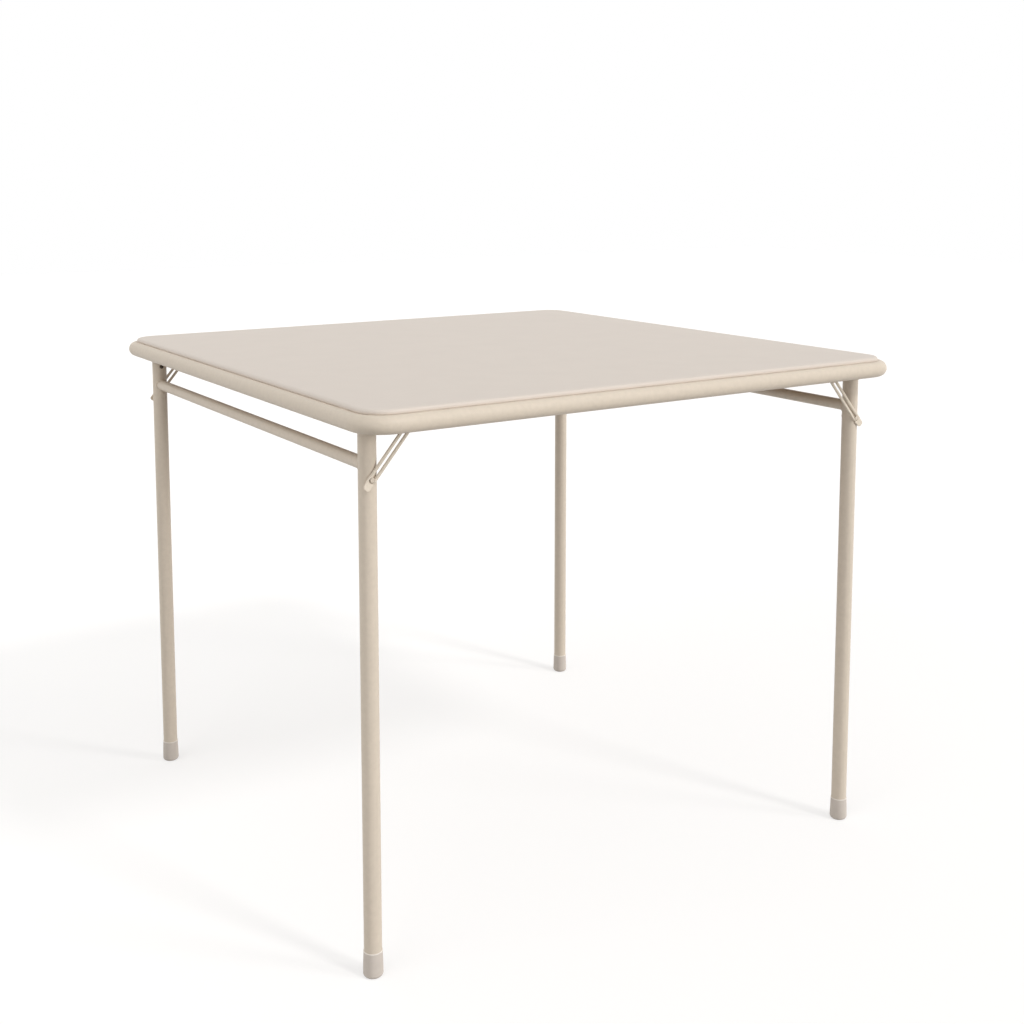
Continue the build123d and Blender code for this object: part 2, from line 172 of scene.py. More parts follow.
class SteelSizes(bpy.types.PropertyGroup):
    """The painted steel: braces, hangers, rivets and welds."""

    brace_width: length_setting("Brace width", "Width of a brace", 11.6)
    brace_web: length_setting("Brace web", "Thickness of a brace at its slot", 1.2)
    brace_rise: length_setting("Brace ridge", "Rise of the rounded ridges beside the slot", 0.9)
    tab_share: share_setting("Tab share", "Rise of the flat tab as a share of the ridges'", 0.5)
    brace_boss: length_setting("Brace boss", "Radius of the flat round the brace's pivot", 4.6)
    brace_boss_height: length_setting("Boss height", "Thickness of a brace at its pivot", 2.3)
    ridge_crest: length_setting("Ridge crest", "Distance of a ridge's crest from the edge", 1.1)
    ridge_flat: length_setting("Ridge flat", "Width of a ridge's flat crest", 1.2)
    ridge_width: length_setting("Ridge width", "Width of a ridge", 4.2)
    brace_tail: length_setting("Brace tail", "How far the tab reaches past the lock rivet", 14.5)
    tail_inset: length_setting("Tail inset", "How much each side of the tab is narrower than the brace", 0.8)
    notch_place: length_setting("Notch place", "Distance of the edge notch past the lock rivet", 2.6)
    notch_radius: length_setting("Notch radius", "Radius of the notch in the brace's lower edge", 1.5)
    tail_bend: length_setting("Tail bend", "How far the tab's end is bent outboard", 1.7)
    tail_corner: length_setting("Tail corner", "Corner radius of the tab's end", 3.6)
    slot_width: length_setting("Slot width", "Width of the slot in a brace", 3.2)
    slot_start: length_setting("Slot start", "Distance of the slot's upper end from the pivot", 10.3)
    keyhole_radius: length_setting("Keyhole radius", "Radius of the lock seat at the slot's end", 3.5)
    keyhole_offset: length_setting("Keyhole offset", "How far the lock seat lies past the rivet", 1.1)
    pivot_hole: length_setting("Pivot hole", "Radius of the hole for the brace's pivot", 2.55)
    sheet_t: length_setting("Hanger sheet", "Thickness of the hangers' sheet steel", 2.0)
    ear_share: share_setting("Ear share", "Radius of a leg hanger's ear as a share of its solid's", 0.78)
    sheet_bend: length_setting("Hanger bend", "Inner radius of the hangers' bends", 1.4)
    weld_lap: length_setting("Weld lap", "How far a hanger reaches past the rail's middle line", 1.5)
    weld_radius: length_setting("Weld radius", "Radius of a weld bead", 1.5)
    coat_colour: colour_setting("Coat colour", "Colour of the powder coat", "#D6C9B8")
    # The braces' coat is the frame's powder coat drawn lighter: painted light that brightens the braces
    # where the rail shades them
    brace_painted_light_colour: colour_setting("Brace colour", "Colour of the braces' coat, lightened as painted light", "#E0D4C3")
    zinc_colour: colour_setting("Zinc colour", "Colour of the zinc plating", "#C4C4C2")
    # The dark rivets' colour is partly painted shade from the rail above them
    dark_and_shade_colour: colour_setting("Dark steel colour", "Colour of the dark rivets", "#4A4038")
    tube_colour: colour_setting("Bare tube colour", "Colour of the uncoated steel", "#9A9894")
    peel: length_setting("Peel", "Size of the powder coat's orange peel", 2.2)


class FootSizes(bpy.types.PropertyGroup):
    """The moulded foot caps."""

    rim_radius: length_setting("Rim rounding", "Rounding of the rim at a cap's mouth", 0.75)
    wall_draft: length_setting("Wall draft", "How far a cap's wall draws in up to its mouth", 0.75)
    sole_radius: length_setting("Sole rounding", "Rounding of the sole's edge", 4.4)
    floor_t: length_setting("Floor thickness", "Thickness of a cap under the tube", 4.0)
    tube_room: length_setting("Tube room", "Gap between a cap's bore and the tube", 0.05)
    tread_depth: length_setting("Tread depth", "Depth of the rings in the sole", 0.6)
    cap_colour: colour_setting("Cap colour", "Colour of the caps", "#CDC3B9")
    # The rim's lighter colour is partly a painted highlight along the cap's mouth
    rim_highlight_colour: colour_setting("Rim colour", "Colour of a cap's stretched rim", "#EAE3DA")
    rim_highlight_band: length_setting("Rim band", "Height of the highlighted rim", 1.4)


class StageSizes(bpy.types.PropertyGroup):
    """The floor, the lamps and the camera."""

    floor_side: length_setting("Floor side", "Side of the floor", 24000.0)
    floor_colour: colour_setting("Floor colour", "Colour of the floor", "#B8B6B4")
    floor_lift: strength_setting("Floor lift", "Light added to the floor as seen", 0.6)
    front_light: strength_setting("Front light", "Strength of the surround at the camera's side", 0.30)
    back_light: strength_setting("Back light", "Strength of the surround behind the table", 0.7)
    back_way: way_setting("Back way", "Where the surround's stronger side lies", (-0.2, 0.98, 0.0))
    high_light: strength_setting("High light", "Light added overhead", 0.16)
    key_strength: strength_setting("Key strength", "Strength of the lamp in front and above", 0.78)
    key_way: way_setting("Key way", "Where the key lamp shines", (-0.26, 0.66, -0.66))
    key_width: angle_setting("Key width", "Width of the key lamp", 9.0)
    low_strength: strength_setting("Low strength", "Strength of the low right lamp", 1.6)
    low_way: way_setting("Low way", "Where the low lamp shines", (-0.66, 0.74, -0.16))
    low_width: angle_setting("Low width", "Width of the low lamp", 14.0)
    left_strength: strength_setting("Left strength", "Strength of the weak left lamp", 0.85)
    left_way: way_setting("Left way", "Where the left lamp shines", (1.0, 0.3, -0.3))
    left_width: angle_setting("Left width", "Width of the left lamp", 60.0)
    focal_length: FloatProperty(name="Focal length", description="Camera lens", default=47.07, unit="CAMERA")
    shift_y: FloatProperty(name="Shift", description="Camera's vertical shift", default=-0.18)
    camera_place: FloatVectorProperty(
        name="Camera place",
        description="Where the camera stands",
        default=(-1.0936, -1.7326, 0.9699),
        subtype="TRANSLATION",
        unit="LENGTH",
    )
    camera_turn: FloatVectorProperty(
        name="Camera turn",
        description="How the camera is turned",
        default=(math.radians(83.577), 0.0, math.radians(-33.310)),
        subtype="EULER",
        unit="ROTATION",
    )


def shade(colour, factor):
    """A linear colour made lighter or darker."""
    return [c * factor for c in colour[:3]] + [1.0]


def add_node(tree, kind, inputs=None, **settings):
    """Add a node with its settings; an input is a value, or the socket that is linked to it."""
    node = tree.nodes.new(kind)
    for name, value in settings.items():
        setattr(node, name, value)
    for name, value in (inputs or {}).items():
        if isinstance(value, bpy.types.NodeSocket):
            tree.links.new(value, node.inputs[name])
        else:
            node.inputs[name].default_value = value
    return node


def result(tree, kind, inputs, **settings):
    """A new node's first output."""
    return add_node(tree, kind, inputs, **settings).outputs[0]


def per_mm(size):
    """A texture scale that gives features of this size in millimetres."""
    return 1.0 / (size * MM)


def finish_material(name):
    """An empty node material and its tree."""
    material = bpy.data.materials.new(name)
    material.use_nodes = True
    material.node_tree.nodes.clear()
    return material, material.node_tree


def object_point(tree):
    """The surface point in the piece's own axes."""
    return add_node(tree, "ShaderNodeTexCoord").outputs["Object"]


def math_of(tree, operation, first, second):
    """A math node's result, from two values or sockets."""
    return result(tree, "ShaderNodeMath", {0: first, 1: second}, operation=operation)


def noise(tree, point, size, detail):
    """Noise with features of a size in millimetres."""
    inputs = {"Vector": point, "Scale": per_mm(size), "Detail": detail}
    return add_node(tree, "ShaderNodeTexNoise", inputs).outputs["Fac"]


def cells(tree, point, size, feature):
    """Cells of a size in millimetres."""
    inputs = {"Vector": point, "Scale": per_mm(size)}
    return add_node(tree, "ShaderNodeTexVoronoi", inputs, feature=feature).outputs["Distance"]


def relief(tree, height, strength, depth):
    """The normal of a height pattern whose depth is given in millimetres."""
    inputs = {"Height": height, "Strength": strength, "Distance": depth * MM}
    return result(tree, "ShaderNodeBump", inputs)


def close_material(tree, colour, roughness, normal, metallic=0.0):
    """Join a pattern to the surface shader and the output."""
    inputs = {"Base Color": colour, "Roughness": roughness, "Normal": normal, "Metallic": metallic}
    shader = add_node(tree, "ShaderNodeBsdfPrincipled", inputs)
    add_node(tree, "ShaderNodeOutputMaterial", {"Surface": shader.outputs["BSDF"]})


def tone(tree, factor, low, high):
    """A colour between two tones, chosen by a pattern."""
    # A mix node's colour sockets share their names with its other kinds, so they are numbered here
    return add_node(tree, "ShaderNodeMix", {0: factor, 6: low, 7: high}, data_type="RGBA").outputs[2]


def span(tree, value, low, high):
    """A pattern's 0 to 1 spread over another range."""
    return result(tree, "ShaderNodeMapRange", {"Value": value, "To Min": low, "To Max": high})


def make_powder_coat(name, sizes, base):
    """Polyester powder coat baked on steel: satin, with a fine orange peel and faint mottling."""
    material, tree = finish_material(name)
    point = object_point(tree)
    # The peel of a real coat is 1 to 2 mm across; it is drawn a little coarser so that it shows
    peel = noise(tree, point, size=sizes.peel, detail=3.0)
    mottle = noise(tree, point, size=6.0, detail=4.0)
    colour = tone(tree, mottle, shade(base, 0.93), shade(base, 1.07))
    bumps = relief(tree, peel, strength=0.35, depth=0.25)
    close_material(tree, colour, span(tree, peel, 0.42, 0.56), bumps)
    return material


def make_vinyl(sizes):
    """Calendered PVC sheet on a cloth back: matt, embossed with a fine leather grain."""
    material, tree = finish_material("vinyl sheet, embossed")
    point = object_point(tree)
    # Embossed cells are 1 to 2 mm across, with pores; the relief is a tenth of a millimetre deep
    emboss = cells(tree, point, sizes.grain, "DISTANCE_TO_EDGE")
    pores = noise(tree, point, size=0.9, detail=3.0)
    cloud = noise(tree, point, size=45.0, detail=3.0)
    base = sizes.vinyl_colour
    colour = tone(tree, cloud, shade(base, 0.975), shade(base, 1.025))
    bumps = relief(tree, math_of(tree, "ADD", emboss, pores), strength=0.25, depth=0.12)
    close_material(tree, colour, span(tree, emboss, 0.5, 0.62), bumps)
    return material


def make_hardboard(sizes):
    """Wet-pressed hardboard: dense brown fibre, with the screen's weave on its back face."""
    material, tree = finish_material("hardboard, screen back")
    point = object_point(tree)
    fibre = noise(tree, point, size=3.0, detail=8.0)
    cloud = noise(tree, point, size=60.0, detail=4.0)
    # The screen has about 8 wires to the centimetre; it is drawn half as fine so that it shows.
    # A wave texture of scale 1 has 20 / (2 pi) bands to the metre
    inputs = {"Vector": point, "Scale": per_mm(2.5) * math.pi / 10}
    screens = [add_node(tree, "ShaderNodeTexWave", inputs, bands_direction=way) for way in ("X", "Y")]
    weave = math_of(tree, "MULTIPLY", *(screen.outputs["Fac"] for screen in screens))
    mean = math_of(tree, "MULTIPLY", math_of(tree, "ADD", fibre, cloud), 0.5)
    base = sizes.board_colour
    colour = tone(tree, mean, shade(base, 0.62), shade(base, 1.35))
    bumps = relief(tree, weave, strength=0.5, depth=0.25)
    close_material(tree, colour, span(tree, fibre, 0.6, 0.8), bumps)
    return material


def make_foam(sizes):
    """Open-cell polyurethane foam: dull, with cells about a millimetre across."""
    material, tree = finish_material("polyurethane foam")
    bubbles = cells(tree, object_point(tree), 1.1, "F1")
    colour = tone(tree, bubbles, sizes.foam_colour, shade(sizes.foam_colour, 0.8))
    close_material(tree, colour, 0.9, relief(tree, bubbles, strength=0.5, depth=0.3))
    return material


def make_cap_plastic(sizes):
    """Injection-moulded polyethylene: slightly waxy, with a fine spark-eroded texture, and a lighter band at
    the mouth's rim that is partly a painted highlight.
    """
    material, tree = finish_material("moulded polyethylene")
    point = object_point(tree)
    spark = noise(tree, point, size=1.2, detail=3.0)
    flow = noise(tree, point, size=14.0, detail=2.0)
    base = sizes.cap_colour
    body = tone(tree, flow, shade(base, 0.94), shade(base, 1.05))
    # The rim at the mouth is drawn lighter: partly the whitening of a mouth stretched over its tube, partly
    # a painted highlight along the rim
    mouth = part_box("foot_cap_front_left")[1].z
    height = add_node(tree, "ShaderNodeSeparateXYZ", {"Vector": point}).outputs["Z"]
    edges = {"From Min": mouth - sizes.rim_highlight_band * MM, "From Max": mouth - 0.6 * sizes.rim_highlight_band * MM}
    highlit = result(tree, "ShaderNodeMapRange", {"Value": height, **edges})
    colour = tone(tree, highlit, body, sizes.rim_highlight_colour)
    bumps = relief(tree, spark, strength=0.3, depth=0.15)
    close_material(tree, colour, span(tree, spark, 0.45, 0.58), bumps)
    return material


def make_bare_metal(name, metal, grain, smooth, rough, stretch=1.0):
    """Plated or mill-finish steel: a metal whose tone and roughness vary with its grain."""
    material, tree = finish_material(name)
    inputs = {"Vector": object_point(tree), "Scale": (1.0, 1.0, stretch)}
    crystals = noise(tree, result(tree, "ShaderNodeMapping", inputs), size=grain, detail=4.0)
    colour = tone(tree, crystals, shade(metal, 0.85), shade(metal, 1.12))
    bumps = relief(tree, crystals, strength=0.2, depth=0.05)
    close_material(tree, colour, span(tree, crystals, smooth, rough), bumps, metallic=1.0)
    return material


FINISHES = {}


def make_finishes(scene):
    """Make every finish once: one to a slot of the record, the braces' coat lightened as painted light, and
    the staples' wire.
    """
    top, steel = read_sizes(scene.card_table_top), read_sizes(scene.card_table_steel)
    foot = read_sizes(scene.card_table_foot)
    FINISHES.update(
        vinyl=make_vinyl(top),
        foam=make_foam(top),
        board=make_hardboard(top),
        powder_coat=make_powder_coat("powder coat, beige satin", steel, steel.coat_colour),
        # The braces get the same powder coat drawn lighter, as painted light
        brace_coat=make_powder_coat("powder coat, light beige satin", steel, steel.brace_painted_light_colour),
        foot_plastic=make_cap_plastic(foot),
        # Clear-passivated zinc: a dull grey metal with small crystals
        zinc_steel=make_bare_metal(
            "zinc plate, passivated", steel.zinc_colour, grain=1.5, smooth=0.34, rough=0.5
        ),
        # Phosphated steel, oiled: nearly black and dull; on the sleeve rivets its darkness is partly painted
        # shade from the rail above
        dark_steel=make_bare_metal(
            "phosphated steel", steel.dark_and_shade_colour, grain=0.8, smooth=0.45, rough=0.6
        ),
        # Welded mill-finish tube, drawn along its length
        plain_steel=make_bare_metal(
            "mill-finish steel tube", steel.tube_colour, grain=1.0, smooth=0.3, rough=0.5, stretch=0.05
        ),
        # Galvanised staple wire, bright from drawing
        staple_wire=make_bare_metal(
            "galvanised wire", top.wire_colour, grain=0.5, smooth=0.25, rough=0.4
        ),
    )


def make_object(name, verts, faces, finish, merge=0.0):
    """A mesh object at the origin, smooth but for its hard edges, with its faces pointing outwards."""
    mesh = bpy.data.meshes.new(name)
    mesh.from_pydata([tuple(v) for v in verts], [], faces)
    work = bmesh.new()
    work.from_mesh(mesh)
    if merge:
        bmesh.ops.remove_doubles(work, verts=work.verts, dist=merge)
    bmesh.ops.recalc_face_normals(work, faces=work.faces)
    work.to_mesh(mesh)
    work.free()
    mesh.polygons.foreach_set("use_smooth", [True] * len(mesh.polygons))
    mesh.set_sharp_from_angle(angle=SHARP_ANGLE)
    mesh.materials.append(FINISHES[finish])
    piece = bpy.data.objects.new(name, mesh)
    bpy.context.scene.collection.objects.link(piece)
    return piece


def finish_piece(piece, body, slot, *nodes):
    """Give a piece its body and hide the CAD nodes that it stands for. The slot is not used."""
    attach(piece, body)
    if nodes:
        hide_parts(*nodes)


def rings_mesh(rings, closed_loop=False):
    """Faces between rings of points; a ring of one point is a pole."""
    verts, starts = [], []
    for ring in rings:
        starts.append(len(verts))
        verts.extend(ring)
    faces = []
    pairs = list(zip(range(len(rings) - 1), range(1, len(rings))))
    if closed_loop:
        pairs.append((len(rings) - 1, 0))
    for low, high in pairs:
        n_low, n_high = len(rings[low]), len(rings[high])
        for i in range(max(n_low, n_high)):
            j = (i + 1) % max(n_low, n_high)
            corners = [starts[low] + i % n_low, starts[low] + j % n_low]
            corners += [starts[high] + j % n_high, starts[high] + i % n_high]
            face = list(dict.fromkeys(corners))
            if len(face) > 2:
                faces.append(face)
    return verts, faces


def circle(radius, height, segments):
    """A level ring of points about Z, given in millimetres; one point where the radius is zero."""
    if radius < 1e-6:
        return [Vector((0, 0, height * MM))]
    angles = [2 * math.pi * i / segments for i in range(segments)]
    return [Vector((radius * math.cos(a), radius * math.sin(a), height)) * MM for a in angles]


def lathe(profile, segments):
    """A turned shape about Z from its (radius, height) profile in millimetres."""
    return rings_mesh([circle(radius, height, segments) for radius, height in profile])


def arc(centre, radius, start, end, steps):
    """Points of an arc in a profile, angles in degrees."""
    angles = [math.radians(start + (end - start) * i / steps) for i in range(steps + 1)]
    return [(centre[0] + radius * math.cos(a), centre[1] + radius * math.sin(a)) for a in angles]


def rounded_square(half, radius, corner_steps, side_steps):
    """Points round a square with rounded corners, with the share of the corner each lies at."""

    def corner_point(quarter, share):
        """A point of the corner that starts at a quarter turn, by its share of the way round."""
        centre = Vector((half - radius, half - radius))
        centre.rotate(Matrix.Rotation(quarter, 2))
        a = quarter + math.pi / 2 * share
        return centre + radius * Vector((math.cos(a), math.sin(a)))

    points = []
    for turn in range(4):
        quarter = math.pi / 2 * turn
        for i in range(corner_steps + 1):
            points.append((corner_point(quarter, i / corner_steps), i / corner_steps))
        end, start_next = points[-1][0], corner_point(quarter + math.pi / 2, 0.0)
        for i in range(1, side_steps):
            points.append((end.lerp(start_next, i / side_steps), None))
    return points


def smooth_share(value):
    """Smooth step of a share from 0 to 1."""
    value = min(1.0, max(0.0, value))
    return value * value * (3 - 2 * value)


def even_steps(first, last, pitch):
    """Even values from first to last, about a pitch apart."""
    count = max(1, round(abs(last - first) / pitch))
    return [first + (last - first) * i / count for i in range(count + 1)]


def tube_along(path, radius, segments, closed=True):
    """A bead of round section along points in metres."""
    rings = []
    count = len(path)
    middle = sum(path, Vector()) / count
    for i, point in enumerate(path):
        before = path[i - 1] if i or closed else path[i]
        after = path[(i + 1) % count] if i + 1 < count or closed else path[i]
        along = (after - before).normalized()
        side = along.cross(point - middle if closed else Vector((0, 0, 1))).normalized()
        up = along.cross(side)
        angles = [2 * math.pi * k / segments for k in range(segments)]
        rings.append([point + radius * (math.cos(a) * side + math.sin(a) * up) for a in angles])
    if not closed:
        rings = [[path[0]]] + rings + [[path[-1]]]
    return rings_mesh(rings, closed)


def join_meshes(parts):
    """One list of points and faces out of several."""
    verts, faces = [], []
    for part_verts, part_faces in parts:
        base = len(verts)
        verts.extend(part_verts)
        faces.extend([[base + i for i in face] for face in part_faces])
    return verts, faces


def new_tree(name, own):
    """A Geometry Nodes tree for instances on points, with inputs of its own as (label, kind)."""
    tree = bpy.data.node_groups.new(name, "GeometryNodeTree")
    tree.interface.new_socket("Geometry", in_out="OUTPUT", socket_type="NodeSocketGeometry")
    shared = (("Points", "Geometry"), ("Turn spread", "Float"), ("Seed", "Int"), ("Finish", "Material"))
    for label, kind in (*shared, *own):
        tree.interface.new_socket(label, in_out="INPUT", socket_type=f"NodeSocket{kind}")
    return tree, add_node(tree, "NodeGroupInput").outputs


def instance_tail(tree, given, instance):
    """Place an instance on every point by its facing, with a small seeded turn, and realise them."""
    inputs = {"Name": "facing"}
    facing = add_node(tree, "GeometryNodeInputNamedAttribute", inputs, data_type="FLOAT_VECTOR")
    turn = result(tree, "FunctionNodeEulerToRotation", {0: facing.outputs["Attribute"]})
    # A random value's limits as floats are its sockets 2 and 3, and its output 1 is the float
    least = math_of(tree, "MULTIPLY", given["Turn spread"], -1.0)
    limits = {2: least, 3: given["Turn spread"], "Seed": given["Seed"]}
    spin = add_node(tree, "FunctionNodeRandomValue", limits, data_type="FLOAT").outputs[1]
    about = result(tree, "FunctionNodeAxisAngleToRotation", {"Axis": (0.0, 0.0, 1.0), "Angle": spin})
    turns = {"Rotation": turn, "Rotate By": about}
    turned = result(tree, "FunctionNodeRotateRotation", turns, rotation_space="LOCAL")
    inputs = {"Points": given["Points"], "Instance": instance, "Rotation": turned}
    placed = result(tree, "GeometryNodeInstanceOnPoints", inputs)
    real = result(tree, "GeometryNodeRealizeInstances", {"Geometry": placed})
    painted = result(tree, "GeometryNodeSetMaterial", {"Geometry": real, "Material": given["Finish"]})
    add_node(tree, "NodeGroupOutput", {"Geometry": painted})


def piece_tree():
    """Repeats one turned or pressed piece on points."""
    tree, given = new_tree("repeated piece", [("Piece", "Object")])
    shape = add_node(tree, "GeometryNodeObjectInfo", {"Object": given["Piece"]}, transform_space="ORIGINAL")
    instance_tail(tree, given, shape.outputs["Geometry"])
    return tree


def staple_tree():
    """Makes a wire staple and repeats it on points; its crown lies on them and its legs go up."""
    tree, given = new_tree("hem staples", [(label, "Float") for label in ("Crown", "Wire", "Leg")])
    radius = math_of(tree, "MULTIPLY", given["Wire"], 0.5)
    joined = add_node(tree, "GeometryNodeJoinGeometry")

    def add_wire(length, **place):
        """Join a straight wire, turned or moved from the middle."""
        rod = result(tree, "GeometryNodeMeshCylinder", {"Vertices": 8, "Radius": radius, "Depth": length})
        tree.links.new(result(tree, "GeometryNodeTransform", {"Geometry": rod, **place}), joined.inputs[0])

    add_wire(given["Crown"], Rotation=(0.0, math.pi / 2, 0.0))
    z = math_of(tree, "MULTIPLY", given["Leg"], 0.5)
    for side in (-0.5, 0.5):
        inward = math_of(tree, "MULTIPLY", radius, -2 * side)
        x = math_of(tree, "ADD", math_of(tree, "MULTIPLY", given["Crown"], side), inward)
        add_wire(given["Leg"], Translation=result(tree, "ShaderNodeCombineXYZ", {"X": x, "Z": z}))
    instance_tail(tree, given, joined.outputs[0])
    return tree


def grow_on_points(name, tree, points, facings, values):
    """Run a tree on points and keep its result as a plain mesh, with no modifier."""
    mesh = bpy.data.meshes.new(name)
    mesh.from_pydata([tuple(p) for p in points], [], [])
    facing = mesh.attributes.new("facing", "FLOAT_VECTOR", "POINT")
    for i, turn in enumerate(facings):
        facing.data[i].vector = turn
    piece = bpy.data.objects.new(name, mesh)
    bpy.context.scene.collection.objects.link(piece)
    modifier = piece.modifiers.new("repeat", "NODES")
    modifier.node_group = tree
    by_name = {s.name: s.identifier for s in tree.interface.items_tree if s.in_out == "INPUT"}
    for socket_name, value in values.items():
        modifier[by_name[socket_name]] = value
    bpy.context.view_layer.update()
    evaluated = piece.evaluated_get(bpy.context.evaluated_depsgraph_get())
    made = bpy.data.meshes.new_from_object(evaluated)
    if not made.polygons:
        raise RuntimeError(f"{name}: its node tree made nothing")
    piece.modifiers.remove(modifier)
    piece.data = made
    made.name = name
    return piece


def repeat_piece(name, unit, points, facings, finish, spread=0.0, seed=7):
    """Repeat a unit mesh, given as points and faces about its own axis, on points."""
    source = make_object(name + "_unit", unit[0], unit[1], finish)
    tree = bpy.data.node_groups.get("repeated piece") or piece_tree()
    values = {"Piece": source, "Turn spread": spread, "Seed": seed, "Finish": FINISHES[finish]}
    piece = grow_on_points(name, tree, points, facings, values)
    bpy.data.objects.remove(source)
    return piece


def box_mm(node):
    """The low and the high corner of a CAD node's box, in millimetres."""
    return [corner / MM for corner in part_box(node)]


def centre_of(node):
    """Middle of a CAD node's box."""
    low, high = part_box(node)
    return (low + high) / 2


def leg_axis(place):
    """X and Y of a leg's axis."""
    return centre_of(f"leg_{place}").to_2d()


def outboard_turn(side_y):
    """Rotation that turns local +Z to the outboard side of a leg."""
    return Euler((-side_y * math.pi / 2, 0.0, 0.0))


class CARDTABLE_OT_stage(bpy.types.Operator):
    """Make the floor, the lamps, the surround and the camera"""

    bl_idname = "card_table.stage"
    bl_label = "Stage"

    def execute(self, context):
        scene, sizes = context.scene, read_sizes(context.scene.card_table_stage)
        scene.view_settings.view_transform = "Standard"
        self.make_floor(scene, sizes)
        self.make_world(scene, sizes)
        self.make_lamps(scene, sizes)
        self.make_camera(scene, sizes)
        return {"FINISHED"}

    def seen_directly(self, tree):
        """1 for rays from the camera and for what gloss and glass show of the surround."""
        path = add_node(tree, "ShaderNodeLightPath").outputs
        gloss = math_of(tree, "MAXIMUM", path["Is Camera Ray"], path["Is Glossy Ray"])
        return math_of(tree, "MAXIMUM", gloss, path["Is Transmission Ray"])

    def make_floor(self, scene, sizes):
        """A pale floor that shows shadows and is lifted towards white where it is seen."""
        half = sizes.floor_side / 2 * MM
        corners = [(-half, -half, 0), (half, -half, 0), (half, half, 0), (-half, half, 0)]
        mesh = bpy.data.meshes.new("floor")
        mesh.from_pydata(corners, [], [(0, 1, 2, 3)])
        material, tree = finish_material("pale studio floor")
        paint = result(tree, "ShaderNodeBsdfDiffuse", {"Color": sizes.floor_colour, "Roughness": 0.5})
        lift = math_of(tree, "MULTIPLY", self.seen_directly(tree), sizes.floor_lift)
        glow = result(tree, "ShaderNodeEmission", {"Strength": lift})
        both = result(tree, "ShaderNodeAddShader", {0: paint, 1: glow})
        add_node(tree, "ShaderNodeOutputMaterial", {"Surface": both})
        mesh.materials.append(material)
        floor = bpy.data.objects.new("floor", mesh)
        scene.collection.objects.link(floor)

    def make_world(self, scene, sizes):
        """White as seen; as light, weaker at the camera's side and stronger behind and overhead."""
        scene.world = bpy.data.worlds.new("soft surround")
        scene.world.use_nodes = True
        tree = scene.world.node_tree
        tree.nodes.clear()
        direction = add_node(tree, "ShaderNodeTexCoord").outputs["Generated"]
        ways = {0: direction, 1: sizes.back_way}
        behind = add_node(tree, "ShaderNodeVectorMath", ways, operation="DOT_PRODUCT").outputs["Value"]
        levels = {"From Min": -1.0, "To Min": sizes.front_light, "To Max": sizes.back_light}
        level = result(tree, "ShaderNodeMapRange", {"Value": behind, **levels})
        height = add_node(tree, "ShaderNodeSeparateXYZ", {"Vector": direction}).outputs["Z"]
        light = math_of(tree, "ADD", level, math_of(tree, "MULTIPLY", height, sizes.high_light))
        strength = span(tree, self.seen_directly(tree), light, 1.0)
        sky = result(tree, "ShaderNodeBackground", {"Color": (1.0, 1.0, 1.0, 1.0), "Strength": strength})
        add_node(tree, "ShaderNodeOutputWorld", {"Surface": sky})

    def make_lamps(self, scene, sizes):
        """Wide distant lamps, even all over the floor: the key, a low right one and a weak left one."""
        for name in ("key", "low", "left"):
            lamp = bpy.data.lights.new(f"{name} lamp", "SUN")
            lamp.energy = getattr(sizes, f"{name}_strength")
            lamp.angle = getattr(sizes, f"{name}_width")
            holder = bpy.data.objects.new(f"{name} lamp", lamp)
            way = Vector(getattr(sizes, f"{name}_way"))
            holder.rotation_euler = way.to_track_quat("-Z", "Y").to_euler()
            # A low lamp would glare off the top when it is seen from the other side
            holder.visible_glossy = name == "key"
            scene.collection.objects.link(holder)

    def make_camera(self, scene, sizes):
        """The camera that the photo's corners, feet and legs were fitted with."""
        camera = bpy.data.cameras.new("camera")
        camera.lens = sizes.focal_length
        camera.sensor_width = 36.0
        camera.shift_y = sizes.shift_y
        holder = bpy.data.objects.new("camera", camera)
        holder.location = sizes.camera_place
        holder.rotation_euler = sizes.camera_turn
        scene.collection.objects.link(holder)
        scene.camera = holder


class CARDTABLE_OT_finishes(bpy.types.Operator):
    """Make the finishes and put them on the CAD nodes"""

    bl_idname = "card_table.finishes"
    bl_label = "Finishes"

    def execute(self, context):
        make_finishes(context.scene)
        for name, node in frame["nodes"].items():
            node.data.materials.clear()
            node.data.materials.append(FINISHES[SLOT_OF[name]])
        return {"FINISHED"}


